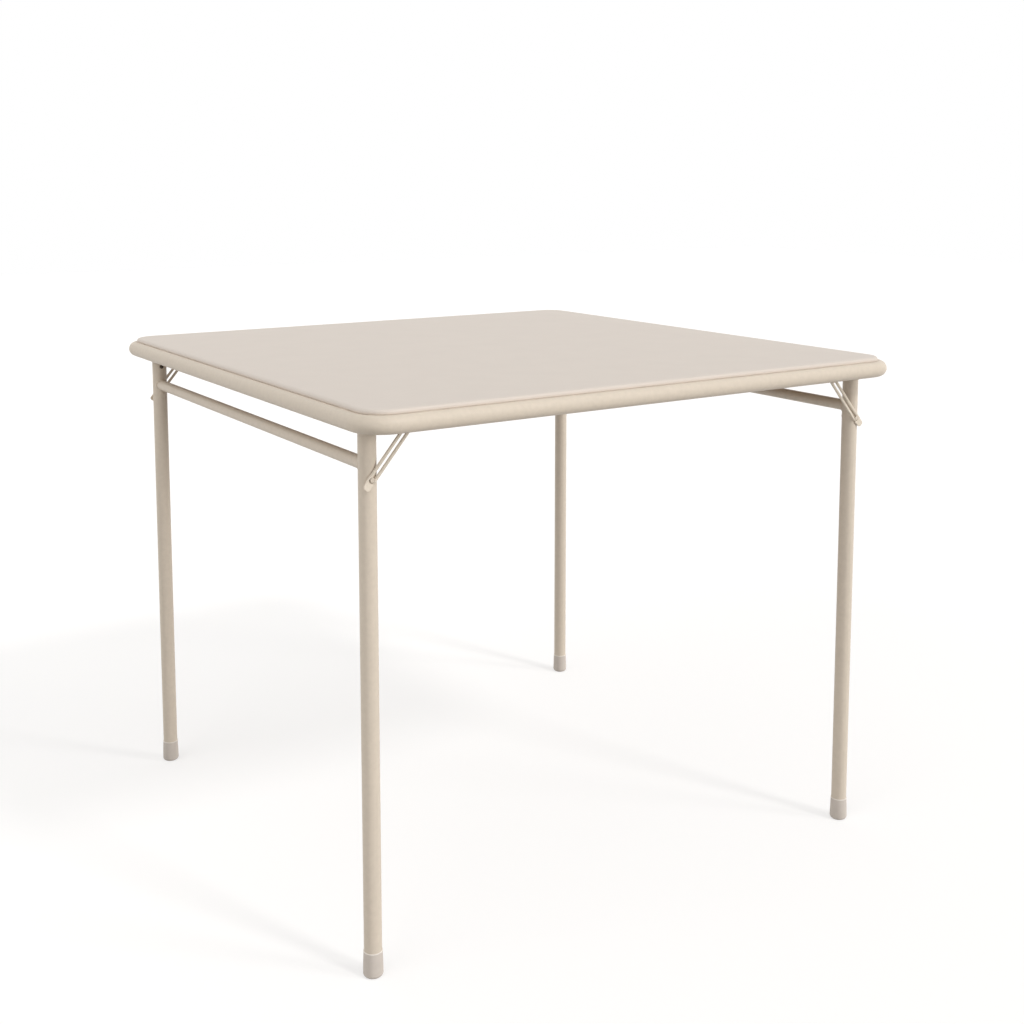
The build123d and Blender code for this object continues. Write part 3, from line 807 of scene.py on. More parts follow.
class CARDTABLE_OT_top(bpy.types.Operator):
    """Make the vinyl cover and the foam under it"""

    bl_idname = "card_table.top"
    bl_label = "Padded top"
    # Steps round each corner, along each side and up the edge's roll, and the least corner radius
    CORNER_STEPS, SIDE_STEPS, ROLL_STEPS = 32, 28, 8
    LEAST_RADIUS = 3.0

    def execute(self, context):
        sizes = read_sizes(context.scene.card_table_top)
        low, high = box_mm("vinyl_cover")
        half = (high.x - low.x) / 2
        self.make_vinyl(sizes, half, low.z, high.z)
        self.make_foam(sizes, half, high.z)
        return {"FINISHED"}

    def ring(self, sizes, half, inset, height, pleated=0.0, scale=1.0):
        """A ring of the cover at a distance in from its edge."""
        radius = max(sizes.corner_radius - inset, self.LEAST_RADIUS)
        points = []
        for flat, share in rounded_square(half - inset, radius, self.CORNER_STEPS, self.SIDE_STEPS):
            drop = 0.0
            if share is not None and pleated:
                fade = math.sin(math.pi * share) ** 0.5
                wave = 0.5 - 0.5 * math.cos(2 * math.pi * sizes.pleat_count * share)
                drop = pleated * fade * wave
            points.append(Vector((flat.x * scale, flat.y * scale, height - drop)) * MM)
        return points

    def crown(self, sizes, inset):
        """How far the top lies below its middle at a distance in from the edge."""
        return sizes.crown_height * (1 - smooth_share(inset / sizes.crown_reach))

    def make_vinyl(self, sizes, half, under, top):
        """The cover, from the hem's inner edge out, round the board's edge and over the foam."""
        # Shares of the hem's width, of the tucks' depth and of the swell on the rail
        hem_rows = (
            (1.0, 1.0, 0.0),
            (0.8, 1.0, 0.0),
            (0.55, 0.8, 0.0),
            (0.4, 0.25, 0.0),
            (0.27, 0.0, 0.6),
            (0.17, 0.0, 1.0),
        )
        rings = []
        for width, tuck, swell in hem_rows:
            height = under - swell * sizes.hem_swell
            rings.append(self.ring(sizes, half, sizes.hem_width * width, height, sizes.pleat_depth * tuck))
        turn = sizes.under_radius
        for inset, height in arc((turn, under - sizes.hem_swell + turn), turn, 270, 180, 5):
            rings.append(self.ring(sizes, half, inset, height))
        rise = top - self.crown(sizes, sizes.roll_width) - under - sizes.roll_start
        for i in range(self.ROLL_STEPS + 1):
            a = math.pi / 2 * i / self.ROLL_STEPS
            inset = sizes.roll_width * (1 - math.cos(a))
            height = under + sizes.roll_start + rise * math.sin(a)
            rings.append(self.ring(sizes, half, inset, height))
        for inset in (*CROWN_INSETS, sizes.crown_reach):
            rings.append(self.ring(sizes, half, inset, top - self.crown(sizes, inset)))
        for scale in (0.85, 0.7, 0.55, 0.4, 0.25, 0.1):
            rings.append(self.ring(sizes, half, sizes.crown_reach, top, scale=scale))
        rings.append([Vector((0, 0, top * MM))])
        cover = make_object("vinyl_top", *rings_mesh(rings), "vinyl")
        wall = cover.modifiers.new("thickness", "SOLIDIFY")
        wall.thickness = sizes.vinyl_thickness * MM
        wall.offset = -1.0
        finish_piece(cover, "frame", "vinyl", "vinyl_cover")

    def make_foam(self, sizes, half, top):
        """The foam between the board and the vinyl, with a rounded edge."""
        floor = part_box("top_board")[1].z / MM
        roof = top - sizes.vinyl_thickness - sizes.foam_gap
        edge = sizes.roll_width
        rings = [[Vector((0, 0, floor * MM))]]
        # The distance in and the height over the board of the foam's underside and of its edge
        for inset, lift in ((sizes.crown_reach, 0), (edge - 1.2, 0), (edge - 1.5, 0.25), (edge - 1.2, 0.6)):
            rings.append(self.ring(sizes, half, inset, floor + lift))
        for inset in (edge, *CROWN_INSETS, sizes.crown_reach):
            rings.append(self.ring(sizes, half, inset, roof - self.crown(sizes, inset)))
        rings.append([Vector((0, 0, roof * MM))])
        foam = make_object("foam_layer", *rings_mesh(rings), "foam")
        finish_piece(foam, "frame", "foam", "foam_pad")


class CARDTABLE_OT_staples(bpy.types.Operator):
    """Staple the hem to the board all round, clear of what bears on it"""

    bl_idname = "card_table.staples"
    bl_label = "Hem staples"

    def execute(self, context):
        sizes = read_sizes(context.scene.card_table_top)
        low, high = box_mm("vinyl_cover")
        line = (high.x - low.x) / 2 - sizes.hem_width * sizes.staple_line
        count = int(2 * (line - sizes.staple_start) / sizes.staple_pitch)
        points, facings = [], []
        for turn in range(4):
            for i in range(count + 1):
                along = (i - count / 2) * sizes.staple_pitch
                # The wire stands out of the hem by most of its thickness
                spot = Vector((along, -line, low.z - sizes.staple_wire * 0.2))
                spot.rotate(Euler((0, 0, turn * math.pi / 2)))
                if self.is_clear(sizes, spot * MM):
                    points.append(spot * MM)
                    facings.append((0.0, 0.0, turn * math.pi / 2))
        tree = staple_tree()
        values = {
            "Crown": sizes.staple_crown * MM,
            "Wire": sizes.staple_wire * MM,
            "Leg": sizes.staple_leg * MM,
            "Turn spread": sizes.staple_turn,
            "Seed": 11,
            "Finish": FINISHES["staple_wire"],
        }
        staples = grow_on_points("hem_staples", tree, points, facings, values)
        finish_piece(staples, "frame", "zinc_steel")
        return {"FINISHED"}

    def is_clear(self, sizes, spot):
        """Whether a staple has room beside the clips, channels and hangers."""
        room = sizes.staple_room * MM
        for name, node in frame["nodes"].items():
            if name.startswith(("panel_clips", "cross_channel", "leg_bracket", "brace_bracket")):
                found, point, _, _ = node.closest_point_on_mesh(spot, distance=room)
                if found and (point - spot).length < room:
                    return False
        return True


class BraceShape:
    """A brace's pressed form, in along and across distances from its pivot, in millimetres."""

    # Where past the lock rivet the form changes, and over what length
    RIDGE_END, RIDGE_FADE = 1.5, 4.0
    TAB_START, TAB_RISE = 2.5, 3.0
    TAPER_START, TAPER_RUN = 4.5, 3.0
    BEND_START = 5.0
    BOSS_EDGE = 0.8
    # The rounding of every edge, and the grid of points that stays clear of the edges
    ROUND_WIDTH, ROUND_DROP = 0.45, 0.4
    GRID_ALONG, GRID_ACROSS, GRID_MARGIN = 1.1, 0.42, 0.22
    # Distances between the points of the outline and of the slot, and before a round stretch
    RIM_PITCH, SLOT_PITCH, LEAD = 3.0, 2.5, 1.5

    def __init__(self, sizes, reach):
        self.sizes, self.reach = sizes, reach
        self.half, self.end = sizes.brace_width / 2, reach + sizes.brace_tail
        self.notch, self.seat = reach + sizes.notch_place, reach + sizes.keyhole_offset

    def half_width(self, along):
        """Half the width, which narrows past the rivet for the tab."""
        taper = smooth_share((along - self.reach - self.TAPER_START) / self.TAPER_RUN)
        return self.half - self.sizes.tail_inset * taper

    def edge_distance(self, along, sideways):
        """Distance in from the outline, negative outside it."""
        if along < 0:
            return self.half - math.hypot(along, sideways)
        half, corner = self.half_width(along), self.sizes.tail_corner
        notch = math.hypot(along - self.notch, sideways + half) - self.sizes.notch_radius
        dx, dy = along - (self.end - corner), abs(sideways) - (half - corner)
        if dx > 0 and dy > 0:
            return corner - math.hypot(dx, dy)
        return min(half - abs(sideways), self.end - along, notch)

    def hole_distance(self, along, sideways):
        """Distance out from the slot, its lock seat and the pivot hole, negative inside them."""
        nearest = min(max(along, self.sizes.slot_start), self.seat)
        slot = math.hypot(along - nearest, sideways) - self.sizes.slot_width / 2
        seat = math.hypot(along - self.seat, sideways) - self.sizes.keyhole_radius
        return min(slot, seat, math.hypot(along, sideways) - self.sizes.pivot_hole)

    def is_sheet(self, spot, margin):
        """Whether a spot lies in the sheet and further than a margin from its edges."""
        return min(self.edge_distance(*spot), self.hole_distance(*spot)) > margin

    def height(self, along, sideways):
        """Height of the pressed face: a web with a rounded ridge all round, a boss and a flat tab."""
        sizes, past = self.sizes, along - self.reach
        edge, hole = self.edge_distance(along, sideways), self.hole_distance(along, sideways)
        crest, shoulder = sizes.ridge_crest, sizes.ridge_crest + sizes.ridge_flat
        if edge < crest:
            ridge = math.sin(math.pi / 2 * max(edge, 0) / crest)
        else:
            fall = max(edge - shoulder, 0) / (sizes.ridge_width - shoulder)
            ridge = math.cos(math.pi / 2 * min(fall, 1.0))
        ridge *= 1 - smooth_share((past - self.RIDGE_END) / self.RIDGE_FADE)
        tab = sizes.tab_share * smooth_share((past - self.TAB_START) / self.TAB_RISE)
        in_boss = sizes.brace_boss + self.BOSS_EDGE - math.hypot(along, sideways)
        boss = (sizes.brace_boss_height - sizes.brace_web) * smooth_share(in_boss / self.BOSS_EDGE)
        rise = max(sizes.brace_rise * max(ridge, tab), boss)
        for distance in (edge, hole):
            share = 1 - min(max(distance, 0) / self.ROUND_WIDTH, 1)
            rise -= self.ROUND_DROP * (1 - math.sqrt(max(0.0, 1 - share * share)))
        return sizes.brace_web + rise

    def bend(self, along):
        """How far the sheet is bent outboard: only past the lock rivet."""
        past, run = along - self.reach - self.BEND_START, self.sizes.brace_tail - self.BEND_START
        share = max(0.0, past / run)
        return self.sizes.tail_bend * share * (0.4 * share + 0.6)

    def loops(self):
        """The borders as loops of points: the outline, the slot with its seat, and the pivot hole."""
        sizes, half, corner = self.sizes, self.half, self.sizes.tail_corner
        depth, thin, pitch = sizes.notch_radius, half - sizes.tail_inset, self.RIM_PITCH
        neck = [self.reach + self.TAPER_START + 0.3 + 0.6 * i for i in range(5)]
        taper = [(x, self.half_width(x)) for x in neck]
        outline = arc((0, 0), half, 90, 270, 20)
        outline += [(x, -half) for x in even_steps(pitch, self.notch - depth - self.LEAD, pitch)]
        outline += arc((self.notch, -half), depth, 180, 0, 8)
        outline += [(x, -y) for x, y in taper]
        outline += arc((self.end - corner, corner - thin), corner, 270, 360, 8)
        outline += arc((self.end - corner, thin - corner), corner, 0, 90, 8)
        outline += taper[::-1]
        outline += [(x, half) for x in even_steps(self.reach + pitch, pitch, pitch)]
        narrow, radius, start = sizes.slot_width / 2, sizes.keyhole_radius, sizes.slot_start
        opening = math.degrees(math.asin(narrow / radius))
        meet = self.seat - math.sqrt(radius**2 - narrow**2)
        straight = even_steps(start + 2, meet - self.LEAD, self.SLOT_PITCH)
        slot = arc((start, 0), narrow, 90, 270, 10) + [(x, -narrow) for x in straight]
        slot += arc((self.seat, 0), radius, 180 + opening, 540 - opening, 28)
        slot += [(x, narrow) for x in reversed(straight)]
        return [outline, slot, arc((0, 0), sizes.pivot_hole, 0, 360, 24)[:-1]]

    def flat_sheet(self):
        """The flat form cut into triangles: its points, the triangles and the borders' edges."""
        flat, edges = [], []
        for loop in self.loops():
            base = len(flat)
            flat.extend(Vector(spot) for spot in loop)
            edges.extend((base + i, base + (i + 1) % len(loop)) for i in range(len(loop)))
        rim_count = len(flat)
        for along in even_steps(-self.half, self.end, self.GRID_ALONG):
            row = [(along, sideways) for sideways in even_steps(-self.half, self.half, self.GRID_ACROSS)]
            flat.extend(Vector(spot) for spot in row if self.is_sheet(spot, self.GRID_MARGIN))
        points, _, triangles, origins, _, _ = delaunay_2d_cdt(flat, edges, [], 0, 1e-5)
        if len(points) != len(flat):
            raise RuntimeError("the points of a brace's borders merged")
        middles = [sum((points[i] for i in corners), Vector((0, 0))) / 3 for corners in triangles]
        kept = [list(corners) for corners, spot in zip(triangles, middles) if self.is_sheet(spot, 0)]
        now = {own[0]: i for i, own in enumerate(origins) if own[0] < rim_count}
        return points, kept, [(now[a], now[b]) for a, b in edges]


class CARDTABLE_OT_braces(bpy.types.Operator):
    """Press the slotted braces and turn the rivet heads that run in them"""

    bl_idname = "card_table.braces"
    bl_label = "Braces"

    def execute(self, context):
        sizes = read_sizes(context.scene.card_table_steel)
        for place in STATIONS:
            self.make_brace(sizes, place)
            self.make_head(sizes, place)
        return {"FINISHED"}

    def back_plane(self, place):
        """Y of a brace's inboard face."""
        low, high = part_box(f"brace_{place}")
        return high.y if STATIONS[place][1] < 0 else low.y

    def make_brace(self, sizes, place):
        """A brace from its flat form, raised to its ridges, bent at the tab and set on its pivot."""
        side_x, side_y = STATIONS[place]
        pivot, lock = centre_of(f"brace_pivot_{place}"), centre_of(f"lock_cap_{place}")
        run = Vector((lock.x - pivot.x, lock.z - pivot.z))
        way, back = run.normalized(), self.back_plane(place)
        across = Vector((-way.y, way.x)) * side_x

        def placed(spot, out):
            """A spot of the flat form in the table's axes, at a distance outboard."""
            x = pivot.x + (way.x * spot.x + across.x * spot.y) * MM
            z = pivot.z + (way.y * spot.x + across.y * spot.y) * MM
            return Vector((x, back + side_y * out * MM, z))

        shape = BraceShape(sizes, run.length / MM)
        points, kept, edges = shape.flat_sheet()
        backs = [shape.bend(p.x) for p in points]
        fronts = [out + shape.height(p.x, p.y) for p, out in zip(points, backs)]
        verts = [placed(p, out) for outs in (fronts, backs) for p, out in zip(points, outs)]
        count = len(points)
        faces = kept + [[i + count for i in reversed(face)] for face in kept]
        faces += [[a, b, b + count, a + count] for a, b in edges]
        # The brace is drawn in the lighter coat: painted light on its ridges
        brace = make_object(f"pressed_brace_{place}", verts, faces, "brace_coat")
        finish_piece(brace, f"brace_{place}", "powder_coat", f"brace_{place}")

    def make_head(self, sizes, place):
        """The rivet's neck through the slot and its low dome over the ridges."""
        neck = sizes.slot_width / 2 - 0.1
        # Radius and distance out from the brace's back: the neck, the underside, the rim and the dome
        profile = [(0, 0.05), (neck, 0.05), (neck, 1.35), (2.6, 1.92), (3.0, 2.1), (3.1, 2.2)]
        profile += [(3.05, 2.35), (2.8, 2.48), (2.2, 2.6), (1.5, 2.67), (0.8, 2.7), (0, 2.71)]
        verts, faces = lathe(profile, 40)
        lock = centre_of(f"lock_cap_{place}")
        seat = Vector((lock.x, self.back_plane(place), lock.z))
        turn = outboard_turn(STATIONS[place][1]).to_matrix()
        head = make_object(f"lock_head_{place}", [turn @ v + seat for v in verts], faces, "powder_coat")
        finish_piece(head, f"lock_cap_{place}", "powder_coat", f"lock_cap_{place}")


class CARDTABLE_OT_rivets(bpy.types.Operator):
    """Set the rivets and pins: sleeve rivets, lock rivets, leg pivots and brace pivots"""

    bl_idname = "card_table.rivets"
    bl_label = "Rivets and pins"

    # Each head's radius, the place of its dome's base along the pin, the dome's height and the rim under
    # it, and the shank's radius; places run outboard from the leg's axis, all in millimetres
    PINS = {
        # Beds inboard on the tube; the shank ends just past its outboard side, under the brace
        "lock_rivet": ((4.4, -11.5, 1.1, 0.9), 2.45, (2.45, 11.1, 0.2, 0.0)),
        # Only in the leg's inboard side
        "sleeve_rivet": ((3.2, -11.4, 1.1, 0.9), 1.6, (1.6, -8.2, 0.1, 0.0)),
        # Headed inboard against the hanger's ear, peened outboard
        "leg_pivot": ((4.6, -14.5, 1.2, 0.8), 2.98, (4.0, 14.0, 0.7, 0.3)),
        # Flush with the brace inboard, headed outboard of its ear
        "brace_pivot": ((2.45, 11.75, 0.1, 0.0), 2.45, (4.0, 16.8, 0.6, 0.4)),
    }

    def execute(self, context):
        for body, side_x in LEG_PAIRS.items():
            places = [p for p, sides in STATIONS.items() if sides[0] == side_x]
            side = body.split("_")[0]
            # The lock rivets are painted with the legs
            self.set_rivets(f"lock_rivets_{side}", "lock_rivet", places, body, "powder_coat")
            # The sleeve rivets are dark steel, drawn dark also as painted shade under the rail
            self.set_rivets(f"sleeve_rivets_{side}", "sleeve_rivet", places, body, "dark_steel")
        self.set_rivets("leg_pins", "leg_pivot", list(STATIONS), "frame", "zinc_steel")
        self.set_rivets("brace_pins", "brace_pivot", list(STATIONS), "frame", "zinc_steel")
        return {"FINISHED"}

    def dome(self, radius, base, height):
        """Profile of a low dome from its base to the axis; a negative height points inboard."""
        angles = [math.radians(90 * i / 8) for i in range(8)]
        curve = [(radius * math.cos(a), base + height * math.sin(a)) for a in angles]
        return curve + [(0, base + height)]

    def whole_pin(self, inboard, shank, outboard):
        """A whole pin's profile, from the inboard end to the outboard one."""
        low_r, low_base, low_dome, low_rim = inboard
        high_r, high_base, high_dome, high_rim = outboard
        under_low, under_high = low_base + low_rim, high_base - high_rim
        rims = [(low_r, under_low), (shank, under_low), (shank, under_high), (high_r, under_high)]
        return self.dome(low_r, low_base, -low_dome)[::-1] + rims + self.dome(high_r, high_base, high_dome)

    def set_rivets(self, name, node, places, body, slot):
        """One piece of the same rivet at every place."""
        points, facings = [], []
        for place in places:
            middle = centre_of(f"{node}_{place}")
            points.append(Vector((middle.x, leg_axis(place).y, middle.z)))
            facings.append(tuple(outboard_turn(STATIONS[place][1])))
        unit = lathe(self.whole_pin(*self.PINS[node]), 32)
        rivets = repeat_piece(name, unit, points, facings, slot)
        finish_piece(rivets, body, slot, *[f"{node}_{place}" for place in places])


class CARDTABLE_OT_screws(bpy.types.Operator):
    """Turn in the cross-recessed screws that hold the top on its clips"""

    bl_idname = "card_table.screws"
    bl_label = "Top screws"

    def execute(self, context):
        mesh = frame["nodes"]["panel_screws"].data
        low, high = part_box("panel_screws")
        # The lowest points of the CAD heads, gathered by screw
        near, skin = 9 * MM, 0.3 * MM
        groups = []
        for spot in (v.co for v in mesh.vertices if v.co.z < low.z + skin):
            own = next((group for group in groups if (group[0] - spot).length < near), None)
            if own is None:
                groups.append([spot])
            else:
                own.append(spot)
        spots = []
        for group in groups:
            xs, ys = [s.x for s in group], [s.y for s in group]
            spots.append(Vector(((min(xs) + max(xs)) / 2, (min(ys) + max(ys)) / 2, low.z)))
        if len(spots) != 8:
            raise RuntimeError(f"the top should have 8 screws, and {len(spots)} were found")
        unit = self.make_screw((high.z - low.z) / MM)
        facings = [(0.0, 0.0, 0.0)] * len(spots)
        screws = repeat_piece("top_screws", unit, spots, facings, "zinc_steel", spread=math.pi, seed=5)
        finish_piece(screws, "frame", "zinc_steel", "panel_screws")
        return {"FINISHED"}

    def make_screw(self, length):
        """A pan-head screw, head down, with a cross recess and a threaded shank."""
        head_radius, head_height, bulge, segments = 3.55, 1.8, 0.75, 48
        recess_width, recess_reach, recess_depth = 0.84, 2.0, 0.85
        core, thread, pitch, point = 1.35, 1.68, 0.7, 1.2
        rings = []
        # The rings are closer together where the recess's walls lie
        for radius in (0, 0.35, 0.7, 1.0, 1.3, 1.6, 1.9, 2.15, 2.5, 2.9, 3.25, 3.45, head_radius):
            ring = circle(radius, bulge * (radius / head_radius) ** 3, segments)
            for spot in ring:
                across = min(abs(spot.x), abs(spot.y)) / MM
                if across < recess_width / 2 and radius < recess_reach:
                    spot.z += recess_depth * MM
            rings.append(ring)
        shank = [(head_radius, head_height * 0.7), (head_radius - 0.25, head_height), (core, head_height)]
        height = head_height + 0.3
        while height < length - point:
            shank += [(core, height), (thread, height + 0.4 * pitch), (core, height + 0.8 * pitch)]
            height += pitch
        shank += [(1.1, length - 0.7), (0, length)]
        return rings_mesh(rings + [circle(radius, level, segments) for radius, level in shank])


class CARDTABLE_OT_hangers(bpy.types.Operator):
    """Fold the sheet-steel hangers that carry the legs and the braces"""

    bl_idname = "card_table.hangers"
    bl_label = "Hangers"
    # Steps round a bend and over the sheet's width, and the least flat of a web past its bend
    BEND_STEPS, WIDTH_STEPS = 6, 10
    LEAST_WEB = 1.0

    def execute(self, context):
        sizes = read_sizes(context.scene.card_table_steel)
        low, high = box_mm("frame_tube")
        rail = high.x - (high.z - low.z) / 2
        for place, (side_x, side_y) in STATIONS.items():
            self.leg_hanger(sizes, place, side_x, rail)
            self.brace_hanger(sizes, place, side_y, rail)
        return {"FINISHED"}

    def fold(self, sizes, rows, name, node, placed):
        """Sheet bent along rows of (across, height, low end, high end), set by a function."""
        half, count = sizes.sheet_t / 2, self.WIDTH_STEPS
        rings = []
        for i, (across, height, low, high) in enumerate(rows):
            before, after = rows[max(i - 1, 0)], rows[min(i + 1, len(rows) - 1)]
            run = Vector((after[0] - before[0], after[1] - before[1])).normalized()
            widths = [low + (high - low) * k / count for k in range(count + 1)]
            ring = [placed(w, across - half * run.y, height + half * run.x) for w in widths]
            ring += [placed(w, across + half * run.y, height - half * run.x) for w in reversed(widths)]
            rings.append(ring)
        verts, faces = rings_mesh(rings)
        around = len(rings[0])
        faces += [list(range(around)), list(range(len(verts) - around, len(verts)))]
        hanger = make_object(name, verts, faces, "powder_coat", merge=1e-6)
        finish_piece(hanger, "frame", SLOT_OF[node], node)

    def ear(self, radius, centre_z, top_z, rows=9):
        """Heights and half widths up an ear with a round end, which starts a little wide."""
        rounded = [math.radians(-84 + 84 * i / rows) for i in range(rows + 1)]
        return [(centre_z + radius * math.sin(a), radius * math.cos(a)) for a in rounded] + [(top_z, radius)]

    def leg_hanger(self, sizes, place, side_x, rail_x):
        """A U of sheet over the leg's top, its web welded to the rail and an ear at each side."""
        low, high = box_mm(f"leg_bracket_{place}")
        pin, middle = centre_of(f"leg_pivot_{place}") / MM, leg_axis(place) / MM
        radius = (pin.z - low.z) * sizes.ear_share
        half = (high.y - low.y - sizes.sheet_t) / 2
        bend = sizes.sheet_bend + sizes.sheet_t / 2
        start = high.z - sizes.sheet_t / 2 - bend
        to_rail = rail_x - abs(middle.x) + sizes.weld_lap
        # Across, height, and the reach away from the rail and towards it
        ear = [(height, width, width) for height, width in self.ear(radius, pin.z, start)]
        reaches = [(-half, *row) for row in ear]
        bends = arc((-half + bend, start), bend, 180, 90, self.BEND_STEPS)[1:]
        bends += arc((half - bend, start), bend, 90, 0, self.BEND_STEPS)[:-1]
        for across, height in bends:
            reaches.append((across, height, radius, radius + (to_rail - radius) * (height - start) / bend))
        reaches += [(half, *row) for row in reversed(ear)]
        rows = [(*spot, *sorted((-side_x * inner, side_x * outer))) for *spot, inner, outer in reaches]

        def placed(width, across, height):
            """A spot of the leg hanger in the table's axes."""
            return Vector((middle.x + width, middle.y + across, height)) * MM

        self.fold(sizes, rows, f"leg_hanger_{place}", f"leg_bracket_{place}", placed)

    def brace_hanger(self, sizes, place, side_y, rail_y):
        """An angle of sheet: an ear at the brace's pivot and a web welded to the rail."""
        low, high = box_mm(f"brace_bracket_{place}")
        pin = centre_of(f"brace_pivot_{place}") / MM
        radius = pin.z - low.z
        ear_y = (low.y if side_y > 0 else -high.y) + sizes.sheet_t / 2
        bend = sizes.sheet_bend + sizes.sheet_t / 2
        start = high.z - sizes.sheet_t / 2 - bend
        rows = [(ear_y, height, -width, width) for height, width in self.ear(radius, pin.z, start)]
        web = arc((ear_y + bend, start), bend, 180, 90, self.BEND_STEPS)[1:]
        web.append((max(rail_y + sizes.weld_lap, ear_y + bend + self.LEAST_WEB), start + bend))
        rows += [(across, height, -radius, radius) for across, height in web]

        def placed(width, across, height):
            """A spot of the brace hanger in the table's axes."""
            return Vector((pin.x + width, side_y * across, height)) * MM

        self.fold(sizes, rows, f"brace_hanger_{place}", f"brace_bracket_{place}", placed)


class CARDTABLE_OT_welds(bpy.types.Operator):
    """Lay the painted weld beads at the crossbars' ends and along the hangers"""

    bl_idname = "card_table.welds"
    bl_label = "Welds"

    def execute(self, context):
        sizes = read_sizes(context.scene.card_table_steel)
        for body, side_x in LEG_PAIRS.items():
            self.crossbar_beads(sizes, body, side_x)
        self.hanger_beads(sizes)
        return {"FINISHED"}

    def crossbar_beads(self, sizes, body, side_x):
        """A rippled bead round each end of a crossbar, laid on the leg's round."""
        side = body.split("_")[0]
        low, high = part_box(f"crossbar_{side}")
        radius = sizes.weld_radius * MM
        count, ripples, ripple = 72, 9, 0.06 * radius
        # The bead's line lies a little outside the bar and just off the leg's surface
        reach = (high.z - low.z) / 2 + 0.25 * radius
        parts = []
        for place in (p for p, sides in STATIONS.items() if sides[0] == side_x):
            axis, side_y = leg_axis(place), STATIONS[place][1]
            leg_low, leg_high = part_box(f"leg_{place}")
            surface = (leg_high.x - leg_low.x) / 2 + 0.2 * radius
            spots = []
            for i in range(count):
                a = 2 * math.pi * i / count
                x, z = reach * math.cos(a), (low.z + high.z) / 2 + reach * math.sin(a)
                y = math.sqrt(surface**2 - x * x) + ripple * math.sin(ripples * a)
                spots.append(Vector((axis.x + x, axis.y - side_y * y, z)))
            parts.append(tube_along(spots, radius, 12))
        beads = make_object(f"crossbar_welds_{side}", *join_meshes(parts), "powder_coat")
        finish_piece(beads, body, "powder_coat")

    def straight_bead(self, middle, reach, pieces, radius):
        """A straight bead that reaches both ways from its middle."""
        spots = [middle + reach * (2 * i / pieces - 1) for i in range(pieces + 1)]
        return tube_along(spots, radius, 10, closed=False)

    def hanger_beads(self, sizes):
        """A straight bead under each hanger's web, along the rail."""
        rail_low, rail_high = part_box("frame_tube")
        rail_r = (rail_high.z - rail_low.z) / 2
        radius = sizes.weld_radius * MM
        # The share of each web's width that is welded
        leg_share, brace_share = 0.75, 0.85
        parts = []
        for place, (side_x, side_y) in STATIONS.items():
            low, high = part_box(f"leg_bracket_{place}")
            # The bead's line lies where the web meets the rail's round
            level = high.z - sizes.sheet_t * MM - 0.3 * radius
            rise = level - (rail_high.z + rail_low.z) / 2
            inset = rail_r + math.sqrt(rail_r**2 - rise**2) + 0.3 * radius
            middle = Vector((side_x * (rail_high.x - inset), leg_axis(place).y, level))
            reach = Vector((0, leg_share * (high.y - low.y) / 2, 0))
            parts.append(self.straight_bead(middle, reach, 16, radius))
            low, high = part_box(f"brace_bracket_{place}")
            middle = Vector(((low.x + high.x) / 2, side_y * (rail_high.y - inset), level))
            reach = Vector((brace_share * (high.x - low.x) / 2, 0, 0))
            parts.append(self.straight_bead(middle, reach, 12, radius))
        beads = make_object("hanger_welds", *join_meshes(parts), "powder_coat")
        finish_piece(beads, "frame", "powder_coat")


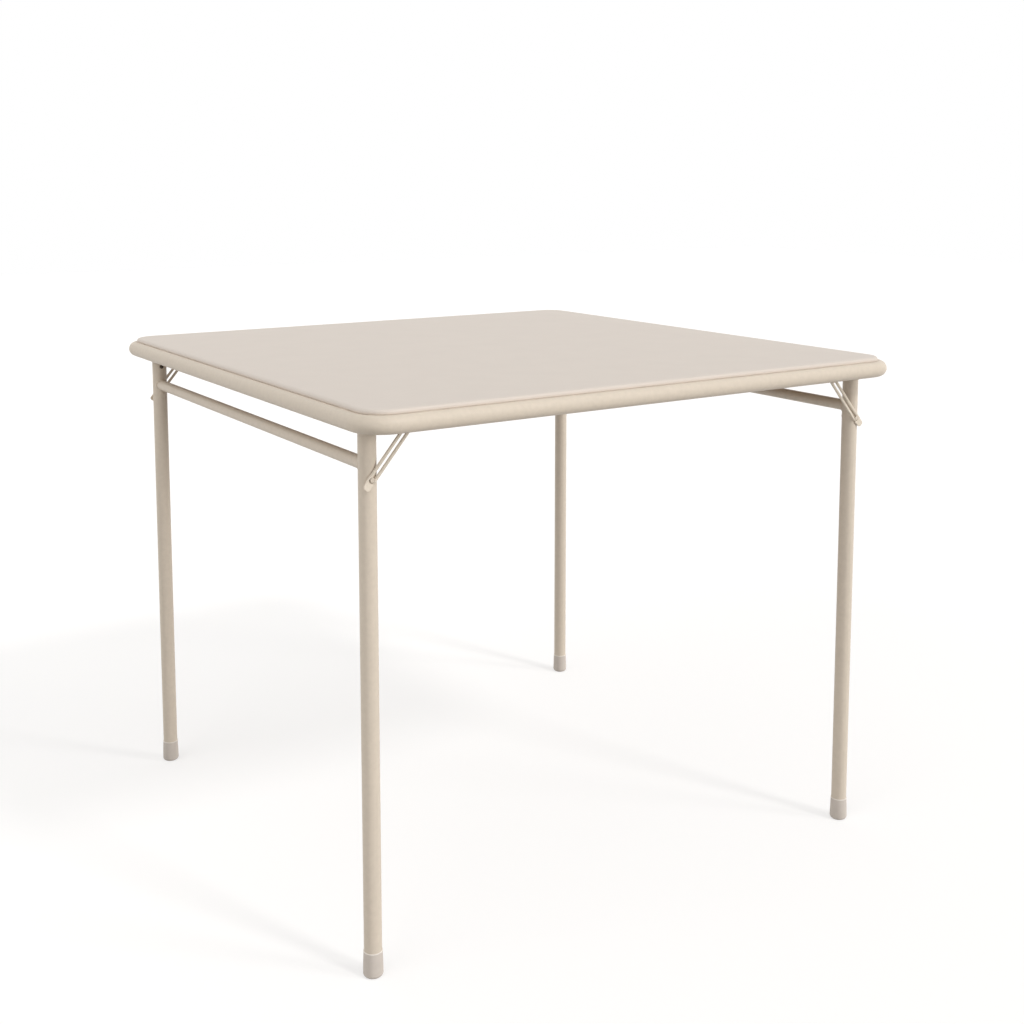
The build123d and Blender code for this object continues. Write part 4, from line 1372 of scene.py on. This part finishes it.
class CARDTABLE_OT_feet(bpy.types.Operator):
    """Mould the caps on the feet"""

    bl_idname = "card_table.feet"
    bl_label = "Foot caps"

    def execute(self, context):
        sizes = read_sizes(context.scene.card_table_foot)
        for place, (side_x, _) in STATIONS.items():
            self.make_cap(sizes, place, "left_legs" if side_x < 0 else "right_legs")
        return {"FINISHED"}

    def make_cap(self, sizes, place, body):
        """A turned cap: rings in the sole, a rounded edge, a drafted wall, a rim and the bore."""
        low, high = box_mm(f"foot_cap_{place}")
        leg_low, leg_high = box_mm(f"leg_{place}")
        outer, top = (high.x - low.x) / 2, high.z
        bore = (leg_high.x - leg_low.x) / 2 + sizes.tube_room
        neck = outer - sizes.wall_draft
        rim, sole = sizes.rim_radius, sizes.sole_radius
        profile = [(0, sizes.tread_depth)]
        # Two rings bear on the floor; each is wider at its root than at its face
        root, face = 0.6, 0.3
        for ring in (3.0, 6.0):
            profile += [(ring - root, sizes.tread_depth), (ring - face, 0.0)]
            profile += [(ring + face, 0.0), (ring + root, sizes.tread_depth)]
        profile += arc((outer - sole, sole), sole, 270, 360, 10)
        # The wall starts 2 mm over the sole's rounding, narrows upwards and ends under the rim,
        # which stands out of it by a small lip
        wall, wall_top, lip = sole + 2, top - 2.6 * rim, 0.22
        for share in (0.25, 0.5, 0.75, 1.0):
            height = wall + (wall_top - wall) * share
            profile.append((outer - sizes.wall_draft * share**1.4, height))
        profile += arc((neck - rim + lip, top - rim), rim, -60, 100, 10)
        profile += [(bore, top - rim), (bore, sizes.floor_t), (0, sizes.floor_t)]
        verts, faces = lathe(profile, 72)
        axis = leg_axis(place).to_3d()
        cap = make_object(f"moulded_cap_{place}", [v + axis for v in verts], faces, "foot_plastic")
        finish_piece(cap, body, "foot_plastic", f"foot_cap_{place}")


class CARDTABLE_PT_panel(bpy.types.Panel):
    """The card table's operators and sizes"""

    bl_label = "Card Table"
    bl_space_type = "VIEW_3D"
    bl_region_type = "UI"
    bl_category = "Card Table"

    def draw(self, context):
        for operator in OPERATORS:
            self.layout.operator(operator.bl_idname)
        for group in GROUPS:
            box = self.layout.box()
            box.label(text=group.__doc__)
            for name in group.__annotations__:
                box.prop(getattr(context.scene, GROUPS[group]), name)


OPERATORS = (
    CARDTABLE_OT_finishes,
    CARDTABLE_OT_stage,
    CARDTABLE_OT_top,
    CARDTABLE_OT_staples,
    CARDTABLE_OT_braces,
    CARDTABLE_OT_rivets,
    CARDTABLE_OT_screws,
    CARDTABLE_OT_hangers,
    CARDTABLE_OT_welds,
    CARDTABLE_OT_feet,
)
GROUPS = {
    TopSizes: "card_table_top",
    SteelSizes: "card_table_steel",
    FootSizes: "card_table_foot",
    StageSizes: "card_table_stage",
}


def register():
    """Register the settings, the operators and the panel."""
    for group, name in GROUPS.items():
        bpy.utils.register_class(group)
        setattr(bpy.types.Scene, name, PointerProperty(type=group))
    for operator in OPERATORS:
        bpy.utils.register_class(operator)
    bpy.utils.register_class(CARDTABLE_PT_panel)


def unregister():
    """Take all of it out again."""
    bpy.utils.unregister_class(CARDTABLE_PT_panel)
    for operator in reversed(OPERATORS):
        bpy.utils.unregister_class(operator)
    for group, name in GROUPS.items():
        delattr(bpy.types.Scene, name)
        bpy.utils.unregister_class(group)


def main():
    register()
    for operator in OPERATORS:
        getattr(bpy.ops.card_table, operator.bl_idname.split(".")[1])()


if __name__ == "__main__":
    main()
